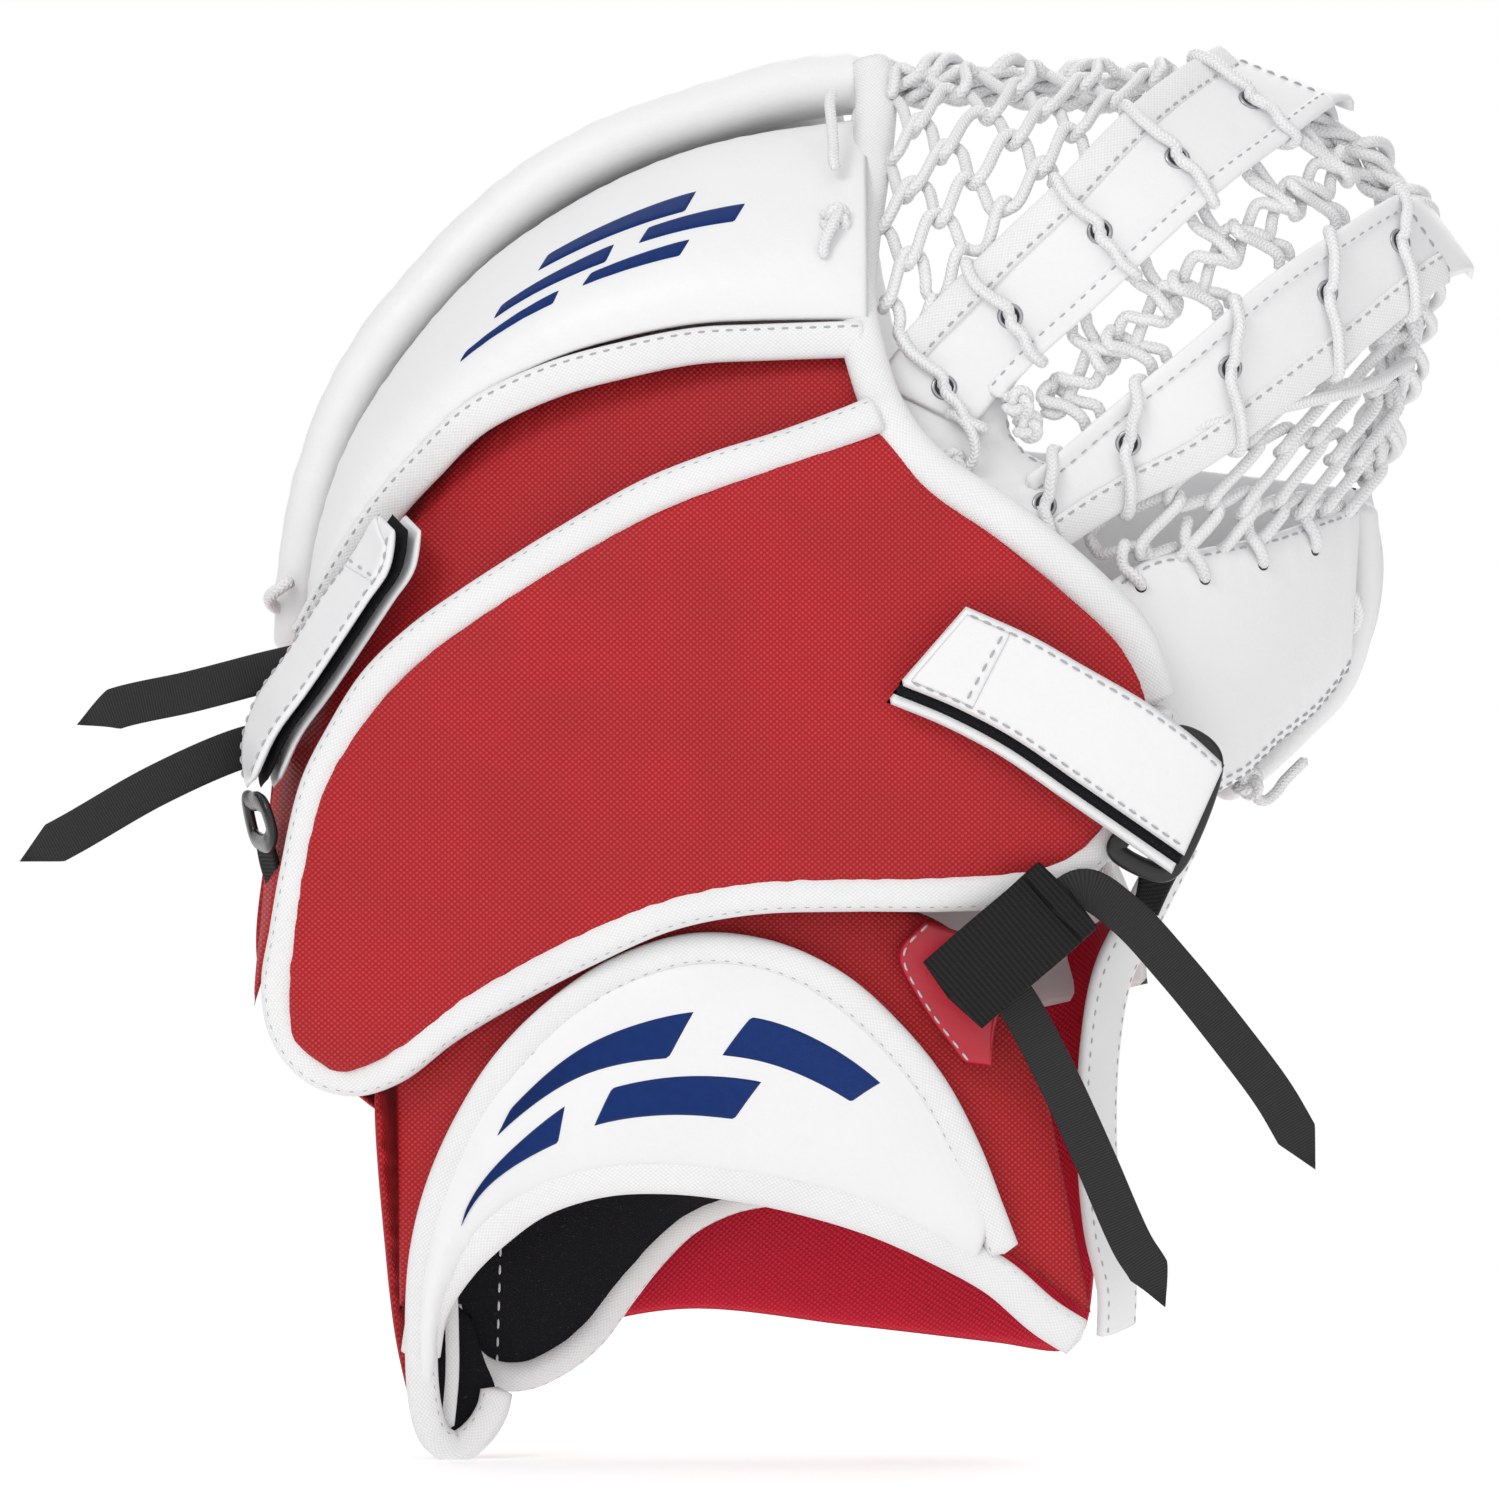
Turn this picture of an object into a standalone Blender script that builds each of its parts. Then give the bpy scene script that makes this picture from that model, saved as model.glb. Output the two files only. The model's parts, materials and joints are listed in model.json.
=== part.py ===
"""A left-hand ice hockey goalkeeper's catching glove, standing upright with the back of the hand to -Y.

The origin is the middle of the wearer's grip: +X is the thumb side, +Y the catching face, +Z the fingertips.
Every point in the lists below is (x, y, z) in millimetres, and each piece is built in metres.
Soft panels are sheets between two rails, edged by ribbons; rolls, laces and rings are tubes.
"""

import bmesh
import bpy
import numpy as np

MM = 0.001

LEATHER = 4.0  # thickness of a panel of foam-backed leather
NYLON = 3.0  # thickness of an unpadded nylon panel
PAD = 12.0  # thickness of the backhand pad
BOARD = 5.0  # thickness of the stiff cuff board
BINDING_WIDTH = 10.4
BINDING_THICKNESS = 7.0
STRAP_THICKNESS = 2.0
PULL_STRAP_WIDTH = 12.5
PULL_STRAP_THICKNESS = 1.6
FINGER_ROLL_RADIUS = 9.5
THUMB_ROLL_RADIUS = 5.5
LACE_RADIUS = 2.0
RING_RADIUS = 1.8
TOWARDS_WEARER = np.array([0.0, -1.0, 0.0])  # out of the back of the hand

# name: (red, green, blue), roughness, metallic
FINISHES = {
    "white_leather": ((0.83, 0.83, 0.84), 0.42, 0.0),
    "white_nylon": ((0.80, 0.80, 0.81), 0.70, 0.0),
    "red_nylon": ((0.41, 0.018, 0.024), 0.62, 0.0),
    "bright_red_nylon": ((0.56, 0.008, 0.032), 0.60, 0.0),
    "red_vinyl": ((0.52, 0.010, 0.030), 0.35, 0.0),
    "black_knit": ((0.016, 0.016, 0.018), 0.90, 0.0),
    "black_webbing": ((0.020, 0.020, 0.022), 0.75, 0.0),
    "black_strap": ((0.030, 0.030, 0.032), 0.55, 0.0),
    "black_plastic": ((0.010, 0.010, 0.011), 0.30, 0.0),
    "white_lace": ((0.80, 0.80, 0.80), 0.65, 0.0),
    "stiffener": ((0.10, 0.10, 0.11), 0.50, 0.0),
}


def clear_scene():
    for old in list(bpy.data.objects):
        bpy.data.objects.remove(old, do_unlink=True)


def make_finishes():
    made = {}
    for name, (colour, roughness, metallic) in FINISHES.items():
        material = bpy.data.materials.new(name)
        material.use_nodes = True
        shader = material.node_tree.nodes["Principled BSDF"]
        shader.inputs["Base Color"].default_value = (*colour, 1.0)
        shader.inputs["Roughness"].default_value = roughness
        shader.inputs["Metallic"].default_value = metallic
        made[name] = material
    return made


def smooth(points, count):
    """count points evenly spaced along a centripetal Catmull-Rom curve through the given points."""
    points = np.asarray(points, float)
    ends = np.vstack([2 * points[0] - points[1], points, 2 * points[-1] - points[-2]])
    knots = np.concatenate([[0], np.cumsum(np.sqrt(np.linalg.norm(np.diff(ends, axis=0), axis=1)))])
    pieces = []
    for i in range(1, len(ends) - 2):
        t0, t1, t2, t3 = knots[i - 1 : i + 3]
        t = np.linspace(t1, t2, 24, endpoint=False)[:, None]
        p0, p1, p2, p3 = ends[i - 1 : i + 3]
        a1 = (t1 - t) / (t1 - t0) * p0 + (t - t0) / (t1 - t0) * p1
        a2 = (t2 - t) / (t2 - t1) * p1 + (t - t1) / (t2 - t1) * p2
        a3 = (t3 - t) / (t3 - t2) * p2 + (t - t2) / (t3 - t2) * p3
        b1 = (t2 - t) / (t2 - t0) * a1 + (t - t0) / (t2 - t0) * a2
        b2 = (t3 - t) / (t3 - t1) * a2 + (t - t1) / (t3 - t1) * a3
        pieces.append((t2 - t) / (t2 - t1) * b1 + (t - t1) / (t2 - t1) * b2)
    dense = np.vstack(pieces + [points[-1:]])
    length = np.concatenate([[0], np.cumsum(np.linalg.norm(np.diff(dense, axis=0), axis=1))])
    stations = np.linspace(0, length[-1], count)
    return np.stack([np.interp(stations, length, dense[:, k]) for k in range(3)], axis=1)


def shortened(route, cut):
    """The route with cut taken off both ends, at the same number of points."""
    length = np.concatenate([[0], np.cumsum(np.linalg.norm(np.diff(route, axis=0), axis=1))])
    stations = np.linspace(cut, length[-1] - cut, len(route))
    return np.stack([np.interp(stations, length, route[:, k]) for k in range(3)], axis=1)


def unit(vectors):
    return vectors / np.linalg.norm(vectors, axis=-1, keepdims=True)


class Glove:
    """The collection that the pieces go in, and the ways to make one."""

    def __init__(self):
        self.finishes = make_finishes()
        self.collection = bpy.data.collections.new("catching_glove")
        bpy.context.scene.collection.children.link(self.collection)

    def add(self, name, data, finish):
        piece = bpy.data.objects.new(name, data)
        data.materials.append(self.finishes[finish])
        self.collection.objects.link(piece)
        return piece

    def sheet(self, name, finish, points, thickness):
        """A sheet through a grid of points, rows by columns, thickened evenly to both sides."""
        points = np.asarray(points, float)
        rows, columns = points.shape[:2]
        mesh = bpy.data.meshes.new(name)
        grid = bmesh.new()
        bmesh.ops.create_grid(grid, x_segments=columns - 1, y_segments=rows - 1, size=0.5)
        for vertex in grid.verts:
            column = round((vertex.co.x + 0.5) * (columns - 1))
            row = round((vertex.co.y + 0.5) * (rows - 1))
            vertex.co = points[row, column] * MM
        grid.to_mesh(mesh)
        grid.free()
        mesh.shade_smooth()
        piece = self.add(name, mesh, finish)
        solidify = piece.modifiers.new("Thickness", "SOLIDIFY")
        solidify.thickness = thickness * MM
        solidify.offset = 0.0
        return piece

    def panel(
        self, name, finish, rail_a, rail_b, thickness=LEATHER, along=20, across=6, crown=0.0, bend=1.0,
        inset=0.0,
    ):
        """A sheet between two rails. Across it, the depth follows share ** bend, and crown lifts its middle.

        inset keeps every edge of the sheet that far inside the rails, which leaves room for a binding.
        """
        a, b = (shortened(smooth(rail, along), inset) for rail in (rail_a, rail_b))
        inwards = unit(b - a) * inset
        a, b = a + inwards, b - inwards
        share = np.linspace(0, 1, across)[None, :, None]
        points = a[:, None] + (b - a)[:, None] * share
        depth_share = share[..., 0] ** bend
        points[..., 1] = a[:, None, 1] + (b - a)[:, None, 1] * depth_share
        points += TOWARDS_WEARER * crown * 4 * share * (1 - share)
        return self.sheet(name, finish, points, thickness)

    def ribbon(self, name, finish, centre, width, thickness, along=30, facing=TOWARDS_WEARER, point=0.0):
        """A flat band along a centre line, its face towards facing.

        point narrows its end over that length.
        """
        centre = smooth(centre, along)
        tangent = unit(np.gradient(centre, axis=0))
        side = unit(np.cross(tangent, np.broadcast_to(facing, tangent.shape)))
        half = np.full(along, width / 2)
        if point:
            to_end = np.linalg.norm(centre - centre[-1], axis=1)
            half = np.minimum(half, 0.8 + (width / 2 - 0.8) * to_end / point)
        offsets = side * half[:, None]
        return self.sheet(name, finish, np.stack([centre - offsets, centre + offsets], axis=1), thickness)

    def tube(self, name, finish, route, radius, count=24, closed=False, resolution=1):
        """A round tube along a smooth route, capped at its ends, or joined end to end."""
        if closed:
            route = smooth(list(route) + [route[0]], count + 1)[:-1]
        else:
            route = smooth(route, count)
        curve = bpy.data.curves.new(name, "CURVE")
        curve.dimensions = "3D"
        curve.bevel_depth = radius * MM
        curve.bevel_resolution = resolution
        curve.use_fill_caps = not closed
        spline = curve.splines.new("POLY")
        spline.points.add(len(route) - 1)
        for place, corner in zip(spline.points, route * MM):
            place.co = (*corner, 1.0)
        spline.use_cyclic_u = closed
        return self.add(name, curve, finish)


def shifted(points, x=0.0, y=0.0, z=0.0):
    return [(px + x, py + y, pz + z) for px, py, pz in points]


# Finger half: the palm, its edge roll and the white panel over the finger backs.
FINGER_ROLL = [
    (-135, 50, 28), (-134, 49, 52), (-130, 48, 77), (-123, 47, 99), (-112, 46, 120), (-97, 46, 139),
    (-79, 46, 158), (-58, 46, 174), (-36, 47, 185), (-12, 48, 193), (12, 49, 200), (26, 49, 202),
]
FINGER_PANEL_TOP = [
    (-134, 34, 42), (-129, 33, 70), (-120, 33, 95), (-101, 33, 124), (-80, 33, 147), (-58, 33, 163),
    (-38, 34, 174), (-18, 34, 182), (2, 35, 187), (26, 36, 190),
]
FINGER_PANEL_FOOT = [
    (-128, 18, 49), (-116, 7, 67), (-104, -2, 83), (-93, -9, 95), (-78, -15, 107), (-58, -21, 117),
    (-38, -25, 123), (-16, -28, 127), (4, -30, 128), (26, -31, 128),
]
FINGER_BINDING = [
    (-134, 21, 33), (-122, 8, 54), (-109, 0, 73), (-97, -7, 86), (-82, -15, 100), (-59, -21, 111),
    (-37, -25, 117), (-16, -28, 121), (4, -30, 122), (25, -31, 123),
]
PALM_BREAK = [
    (28, 64, 196), (32, 54, 170), (38, 44, 140), (45, 38, 115), (54, 35, 94), (67, 33, 70),
    (81, 33, 40), (93, 33, 10), (105, 33, -20), (118, 35, -52),
]
PALM_RIM = [
    (8, 64, 198), (-32, 64, 184), (-72, 64, 160), (-106, 64, 124), (-127, 64, 80), (-132, 64, 40),
    (-131, 62, 0), (-128, 60, -40), (-116, 58, -80), (-92, 58, -102),
]

# The strip that edges the pocket, from the fingertip down to the heel of the thumb.
POCKET_EDGE = [
    (34, 44, 208), (37, 36, 199), (37, 24, 186), (35, 6, 168), (33, -12, 150), (32, -24, 132),
    (35, -32, 116), (42, -38, 100), (55, -41, 85), (76, -41, 69), (97, -38, 51), (113, -34, 34),
    (121, -30, 16),
]
POCKET_WALL_TOP = [
    (32, 44, 196), (31, 30, 184), (30, 12, 168), (29, -4, 150), (29, -16, 132), (32, -24, 114),
    (40, -29, 98), (54, -32, 82), (76, -32, 64), (94, -30, 46),
]
POCKET_WALL_FOOT = [
    (33, 55, 192), (35, 46, 170), (40, 36, 140), (46, 30, 115), (55, 27, 94), (68, 25, 70),
    (82, 25, 40), (88, 25, 26), (91, 25, 18), (94, 25, 10),
]

# Backhand pad, inside its white binding.
BACKHAND_TOP = [
    (-133, -16, -84), (-131, -19, -58), (-128, -21, -32), (-121, -25, -10), (-106, -30, 14), (-84, -35, 34),
    (-58, -39, 51), (-31, -42, 66), (-4, -43, 78), (29, -43, 91), (50, -43, 76), (72, -41, 60),
    (92, -38, 45), (105, -34, 31), (111, -31, 16),
]
BACKHAND_FOOT = [
    (-121, -15, -91), (-112, -18, -88), (-98, -23, -80), (-84, -27, -71), (-66, -32, -60), (-46, -36, -51),
    (-22, -39, -42), (5, -40, -37), (30, -40, -36), (52, -40, -36), (70, -38, -36), (85, -36, -33),
    (97, -34, -25), (105, -32, -9), (109, -31, 4),
]
BACKHAND_BINDING = [
    (31, -43, 97), (9, -43, 89), (-10, -43, 83), (-29, -42, 76), (-54, -39, 61), (-84, -35, 42),
    (-98, -32, 32), (-111, -29, 20), (-121, -25, 5), (-129, -22, -11), (-135, -20, -38), (-137, -19, -54),
    (-140, -17, -70), (-138, -15, -83), (-130, -14, -93), (-119, -14, -97), (-107, -18, -93), (-91, -24, -82),
    (-71, -30, -70), (-50, -35, -59), (-25, -38, -48), (0, -40, -43), (30, -40, -42), (58, -40, -42),
    (76, -38, -41), (92, -35, -37), (105, -32, -26), (113, -31, -11), (117, -30, 2),
]
GUSSET_TOP = [
    (-137, 38, 18), (-124, 28, 46), (-108, 15, 68), (-88, 2, 89), (-62, -7, 107), (-30, -14, 115),
    (0, -19, 120), (24, -21, 121),
]
GUSSET_FOOT = [
    (-144, 12, -74), (-137, 0, -40), (-122, -8, -4), (-98, -15, 22), (-66, -21, 42), (-30, -25, 60),
    (4, -28, 76), (30, -29, 84),
]

# Cuff.
CUFF_WALL_FRONT = [(-112, -8, -101), (-111, -9, -120), (-109, -3, -145), (-106, 8, -175), (-101, 20, -200)]
CUFF_WALL_BACK = [(-107, 46, -98), (-105, 47, -122), (-103, 47, -146), (-100, 47, -172), (-97, 47, -194)]
CUFF_BOARD_TOP = [
    (-100, 52, -108), (-50, 52, -100), (0, 52, -94), (50, 50, -84), (86, 43, -68), (108, 27, -54),
    (120, 6, -38),
]
CUFF_BOARD_FOOT = [
    (-92, 52, -192), (-55, 52, -176), (-20, 52, -169), (30, 52, -174), (74, 48, -179),
    (97, 34, -181), (104, 12, -172),
]
CUFF_BAND = [
    (129, -8, -26), (118, -6, -48), (109, -4, -66), (105, -3, -88), (104, -2, -116), (106, 0, -142),
    (110, 3, -160), (110, 8, -175),
]
BACKING_TOP = [
    (-106, -7, -97), (-80, -17, -74), (-40, -24, -52), (8, -25, -44), (55, -24, -50), (84, -19, -80),
]
BACKING_FOOT = [
    (-105, -3, -168), (-90, -12, -140), (-58, -18, -124), (0, -21, -120), (52, -19, -134), (102, -12, -168),
]
WRIST_PAD_TOP = [
    (-94, -3, -182), (-93, -9, -168), (-90, -15, -148), (-82, -22, -120), (-68, -29, -95), (-48, -32, -77),
    (-20, -33, -67), (4, -33, -68), (24, -33, -78), (43, -32, -96), (56, -30, -116), (64, -27, -137),
]
WRIST_PAD_FOOT = [
    (-92, -5, -172), (-90, -10, -160), (-86, -16, -146), (-77, -22, -134), (-62, -26, -126), (-45, -30, -121),
    (-26, -32, -120), (-6, -33, -122), (14, -33, -125), (34, -31, -131), (50, -29, -139), (60, -27, -146),
]
WRIST_BINDING = [
    (-86, 8, -206), (-94, 5, -209), (-99, 0, -197), (-99, -7, -172), (-97, -13, -150), (-92, -19, -130),
    (-83, -24, -110), (-72, -29, -93), (-57, -31, -78), (-39, -32, -66), (-17, -32, -59), (5, -32, -61),
    (25, -33, -70), (41, -33, -84), (54, -32, -100), (64, -30, -119), (71, -27, -137),
]
WRIST_HEM = [
    (-88, 0, -174), (-82, -13, -153), (-77, -19, -143), (-63, -24, -133), (-44, -28, -127), (-25, -30, -126),
    (-5, -31, -128), (15, -31, -132), (38, -29, -139), (58, -26, -148), (74, -22, -157),
    (88, -19, -169), (99, -17, -176),
]
LINER_TOP = [(-90, 12, -146), (-74, 8, -128), (-42, 6, -119), (-10, 6, -122), (8, 8, -130)]
LINER_FOOT = [(-87, 18, -168), (-70, 21, -182), (-52, 22, -177), (-36, 21, -160), (-10, 16, -134)]
LINER_BINDING = [
    (-93, 17, -160), (-92, 24, -178), (-85, 27, -189), (-70, 29, -190), (-55, 30, -186), (-42, 30, -175),
    (-32, 29, -161), (-22, 27, -149), (-10, 25, -141), (3, 21, -137),
]

# Straps that close over the back of the hand.
FINGER_FLAP_OUTER = [
    (-151, 8, -11), (-152, 8, 3), (-148, 6, 16), (-139, 2, 29), (-129, -3, 45), (-118, -9, 60),
    (-111, -13, 71),
]
FINGER_FLAP_INNER = [
    (-149, -12, -9), (-142, -15, 5), (-133, -19, 17), (-122, -23, 33), (-114, -26, 45),
    (-108, -28, 54), (-106, -29, 66),
]
THUMB_FLAP_UPPER = [
    (64, -60, 43), (84, -60, 34), (98, -59, 26), (117, -57, 15), (131, -53, 5), (141, -48, -4),
]
THUMB_FLAP_LOWER = [
    (44, -60, 20), (61, -60, 13), (78, -60, 4), (97, -58, -9), (113, -54, -20), (129, -48, -31),
]

# Pocket: two webbed straps, the leather at their root, and the net between them and the two halves.
UPPER_STRAP_LEFT = [
    (50, -16, 126), (75, -22, 152), (92, -22, 168), (106, -16, 183), (120, -4, 195), (141, 22, 207),
]
UPPER_STRAP_RIGHT = [
    (84, -20, 118), (104, -26, 135), (122, -26, 152), (141, -17, 169), (157, -3, 181), (177, 24, 193),
]
LOWER_STRAP_TOP = [
    (90, -18, 85), (106, -23, 100), (129, -25, 119), (156, -15, 142), (171, -4, 152), (194, 22, 165),
]
LOWER_STRAP_FOOT = [
    (96, -16, 64), (114, -19, 75), (134, -20, 85), (157, -12, 102), (178, 0, 118), (212, 25, 143),
]
WEB_ROOT_STRIP = [(48, -18, 120), (53, -25, 105), (63, -28, 93), (78, -28, 80), (90, -26, 68)]
WEB_ROOT_INNER = [(80, -17, 112), (76, -16, 103), (76, -16, 97), (80, -15, 90), (87, -15, 82)]
WEB_WALL_TOP = [(58, -8, 114), (60, -12, 104), (68, -14, 94), (78, -14, 84), (88, -14, 72), (94, -12, 60)]
WEB_WALL_FOOT = [(54, 27, 118), (58, 26, 106), (64, 24, 94), (72, 23, 80), (80, 22, 66), (88, 22, 50)]
RIM = [
    (42, 46, 204), (66, 46, 206), (94, 46, 204), (118, 46, 203), (144, 46, 201), (167, 46, 194),
    (187, 46, 182),
    (200, 46, 167), (205, 46, 150), (202, 46, 128), (196, 46, 106), (191, 46, 90), (189, 46, 80),
]
RIM_SPLITS = (0.0, 0.30, 0.72, 1.0)  # shares of its length: finger rim, tip rim, thumb rim
FINGER_NET_STRIP = [(46, 30, 199), (45, 14, 182), (43, -2, 163), (42, -14, 145), (44, -20, 129)]
FINGER_NET_STRAP = [(134, 28, 199), (114, -2, 189), (98, -14, 173), (76, -17, 157), (54, -14, 133)]
MIDDLE_NET_TOP = [
    (92, -16, 118), (110, -22, 136), (128, -22, 152), (146, -14, 167), (162, 1, 179), (176, 18, 187),
]
MIDDLE_NET_FOOT = [
    (90, -14, 93), (106, -20, 106), (129, -21, 124), (154, -12, 146), (169, 2, 157), (186, 18, 166),
]
THUMB_NET_STRAP = [
    (100, -13, 60), (118, -16, 71), (136, -16, 81), (158, -8, 97), (178, 6, 112), (202, 30, 130),
]
THUMB_NET_FOOT = [(114, -16, 57), (127, -13, 62), (141, -7, 67), (154, 2, 71), (168, 18, 76), (182, 36, 81)]

# Thumb half.
THUMB_PANEL_TOP = [(104, -18, 44), (120, -13, 54), (136, -6, 59), (155, 6, 63), (170, 20, 68), (181, 34, 72)]
THUMB_PANEL_FOOT = [(118, -14, -4), (132, -10, -10), (146, 0, -7), (158, 12, 3), (169, 25, 12), (178, 36, 24)]
THUMB_ROLL = [
    (184, 48, 76), (185, 48, 54), (183, 48, 38), (177, 48, 21), (165, 45, 8), (153, 39, -3), (141, 27, -11),
]
THUMB_PALM_BREAK = [(74, 33, 92), (88, 32, 70), (102, 31, 40), (114, 31, 10), (126, 32, -20)]
THUMB_PALM_RIM = [(184, 62, 80), (188, 62, 56), (184, 62, 34), (172, 61, 15), (150, 58, -8)]


def finger_half(glove):
    glove.panel("palm_finger_side", "white_leather", PALM_BREAK, PALM_RIM, BOARD, 18, 8, bend=2.0)
    glove.tube("finger_edge_roll", "white_leather", FINGER_ROLL, FINGER_ROLL_RADIUS, 22, resolution=2)
    rails = FINGER_PANEL_FOOT, FINGER_PANEL_TOP
    glove.panel("finger_panel", "white_leather", *rails, LEATHER, 20, 7, bend=2.1, inset=2.8)
    glove.ribbon("finger_panel_binding", "white_nylon", FINGER_BINDING, BINDING_WIDTH, NYLON, 26)
    glove.panel("finger_gusset", "red_nylon", GUSSET_TOP, GUSSET_FOOT, NYLON, 16, 6)
    inner = [(22, 22, 152), (0, 16, 142), (-30, 12, 130), (-60, 14, 108), (-86, 21, 76), (-102, 30, 44)]
    outer = [(12, 44, 184), (-28, 43, 170), (-66, 43, 146), (-96, 43, 112), (-112, 43, 76), (-116, 43, 42)]
    glove.panel("finger_stiffener", "stiffener", inner, outer, LEATHER, 16, 5)
    glove.ribbon("pocket_edge_binding", "white_nylon", POCKET_EDGE, BINDING_WIDTH, NYLON, 26)
    glove.panel("pocket_side_wall", "white_leather", POCKET_WALL_TOP, POCKET_WALL_FOOT, NYLON, 18, 5)
    loop = [
        (25, 20, 197), (24, 14, 192), (24, 4, 184), (25, -6, 177), (25, -14, 166), (25, -17, 158),
        (22, -22, 147),
    ]
    glove.tube("finger_panel_lace", "white_lace", shifted(loop, y=-9), LACE_RADIUS, 16)


def backhand(glove):
    glove.panel("backhand_pad", "red_nylon", BACKHAND_FOOT, BACKHAND_TOP, PAD, 24, 8, crown=4.0, inset=2.9)
    width = BINDING_WIDTH - 2.0
    glove.ribbon("backhand_binding", "white_nylon", BACKHAND_BINDING, width, BINDING_THICKNESS, 50)
    rings = [  # height, centre x, centre y, half width, half depth
        (-76, -8, 8, 52, 19), (-30, -6, 4, 50, 18), (20, -12, 1, 44, 15), (76, -28, -1, 32, 11),
    ]
    heights = np.linspace(rings[0][0], rings[-1][0], 9)
    centre_x, centre_y, half_x, half_y = (
        np.interp(heights, [ring[0] for ring in rings], [ring[k] for ring in rings])[:, None]
        for k in (1, 2, 3, 4)
    )
    gap = 0.06  # the sleeve is slit along the palm, like a real lining before it is closed by hand
    angle = np.linspace(np.pi / 2 + gap, 5 * np.pi / 2 - gap, 25)[None]
    x, y = centre_x + half_x * np.cos(angle), centre_y + half_y * np.sin(angle)
    sleeve = np.stack(np.broadcast_arrays(x, y, heights[:, None]), axis=-1)
    glove.sheet("hand_liner", "black_knit", sleeve, 2.0)


def cuff(glove):
    glove.panel("cuff_left_wall", "red_nylon", CUFF_WALL_FRONT, CUFF_WALL_BACK, LEATHER, 10, 6)
    glove.panel("cuff_board", "bright_red_nylon", CUFF_BOARD_TOP, CUFF_BOARD_FOOT, BOARD, 16, 6)
    facing = unit(np.array([0.75, -0.66, 0.0]))
    glove.ribbon("cuff_edge_band", "white_leather", CUFF_BAND, 17.0, LEATHER, 20, facing=facing)
    glove.panel("wrist_backing_pad", "red_nylon", BACKING_TOP, BACKING_FOOT, LEATHER, 16, 6)
    glove.panel("wrist_liner", "black_knit", LINER_TOP, LINER_FOOT, NYLON, 14, 5)
    glove.tube("wrist_liner_binding", "white_nylon", LINER_BINDING, 4.0, 22)
    hook = [
        [(-93, 12, -188), (-83, 14, -188)], [(-91, 14, -196), (-82, 16, -197)],
        [(-88, 16, -201), (-81, 18, -203)],
    ]
    glove.sheet("wrist_hook_patch", "black_knit", hook, STRAP_THICKNESS)
    keeper_patch = [
        [(52, -31, -50), (66, -31, -54), (80, -30, -60)],
        [(44, -31, -60), (60, -31, -66), (76, -30, -72)],
        [(50, -31, -74), (62, -31, -78), (73, -30, -83)],
        [(64, -31, -93), (68, -31, -94), (72, -30, -94)],
    ]
    glove.sheet("keeper_patch", "red_vinyl", keeper_patch, STRAP_THICKNESS)


def wrist_pad(glove):
    glove.panel(
        "wrist_pad", "white_leather", WRIST_PAD_FOOT, WRIST_PAD_TOP, LEATHER, 20, 6, crown=2.0, inset=2.6
    )
    glove.ribbon("wrist_pad_binding", "white_nylon", WRIST_BINDING, 8.0, LEATHER, 32)
    glove.ribbon("wrist_pad_hem", "white_nylon", WRIST_HEM, 8.6, LEATHER, 26)


def pull_straps(glove):
    routes = {
        "pull_strap_1": [(-127, 11, 28), (-145, 14, 24), (-168, 9, 18), (-190, 2, 13), (-202, 0, 8)],
        "pull_strap_2": [(-139, 18, 4), (-153, 16, 1), (-178, 7, -10), (-204, -1, -25), (-219, -4, -33)],
        "pull_strap_3": [
            (88, -43, -49), (99, -43, -41), (111, -40, -48), (127, -32, -65), (144, -26, -86),
            (156, -22, -102),
            (162, -20, -112), (169, -19, -125),
        ],
        "pull_strap_4": [
            (72, -40, -64), (81, -38, -77), (92, -35, -98), (103, -31, -122), (114, -28, -147),
            (119, -27, -155),
            (124, -26, -166),
        ],
    }
    for name, route in routes.items():
        glove.ribbon(name, "black_strap", route, PULL_STRAP_WIDTH, PULL_STRAP_THICKNESS, 22, point=14.0)
    keeper = [
        [(85, -47, -34), (102, -47, -53)], [(76, -47, -41), (93, -47, -61)], [(51, -46, -61), (67, -46, -86)],
    ]
    glove.sheet("web_keeper", "black_webbing", keeper, 2.4)


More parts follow.
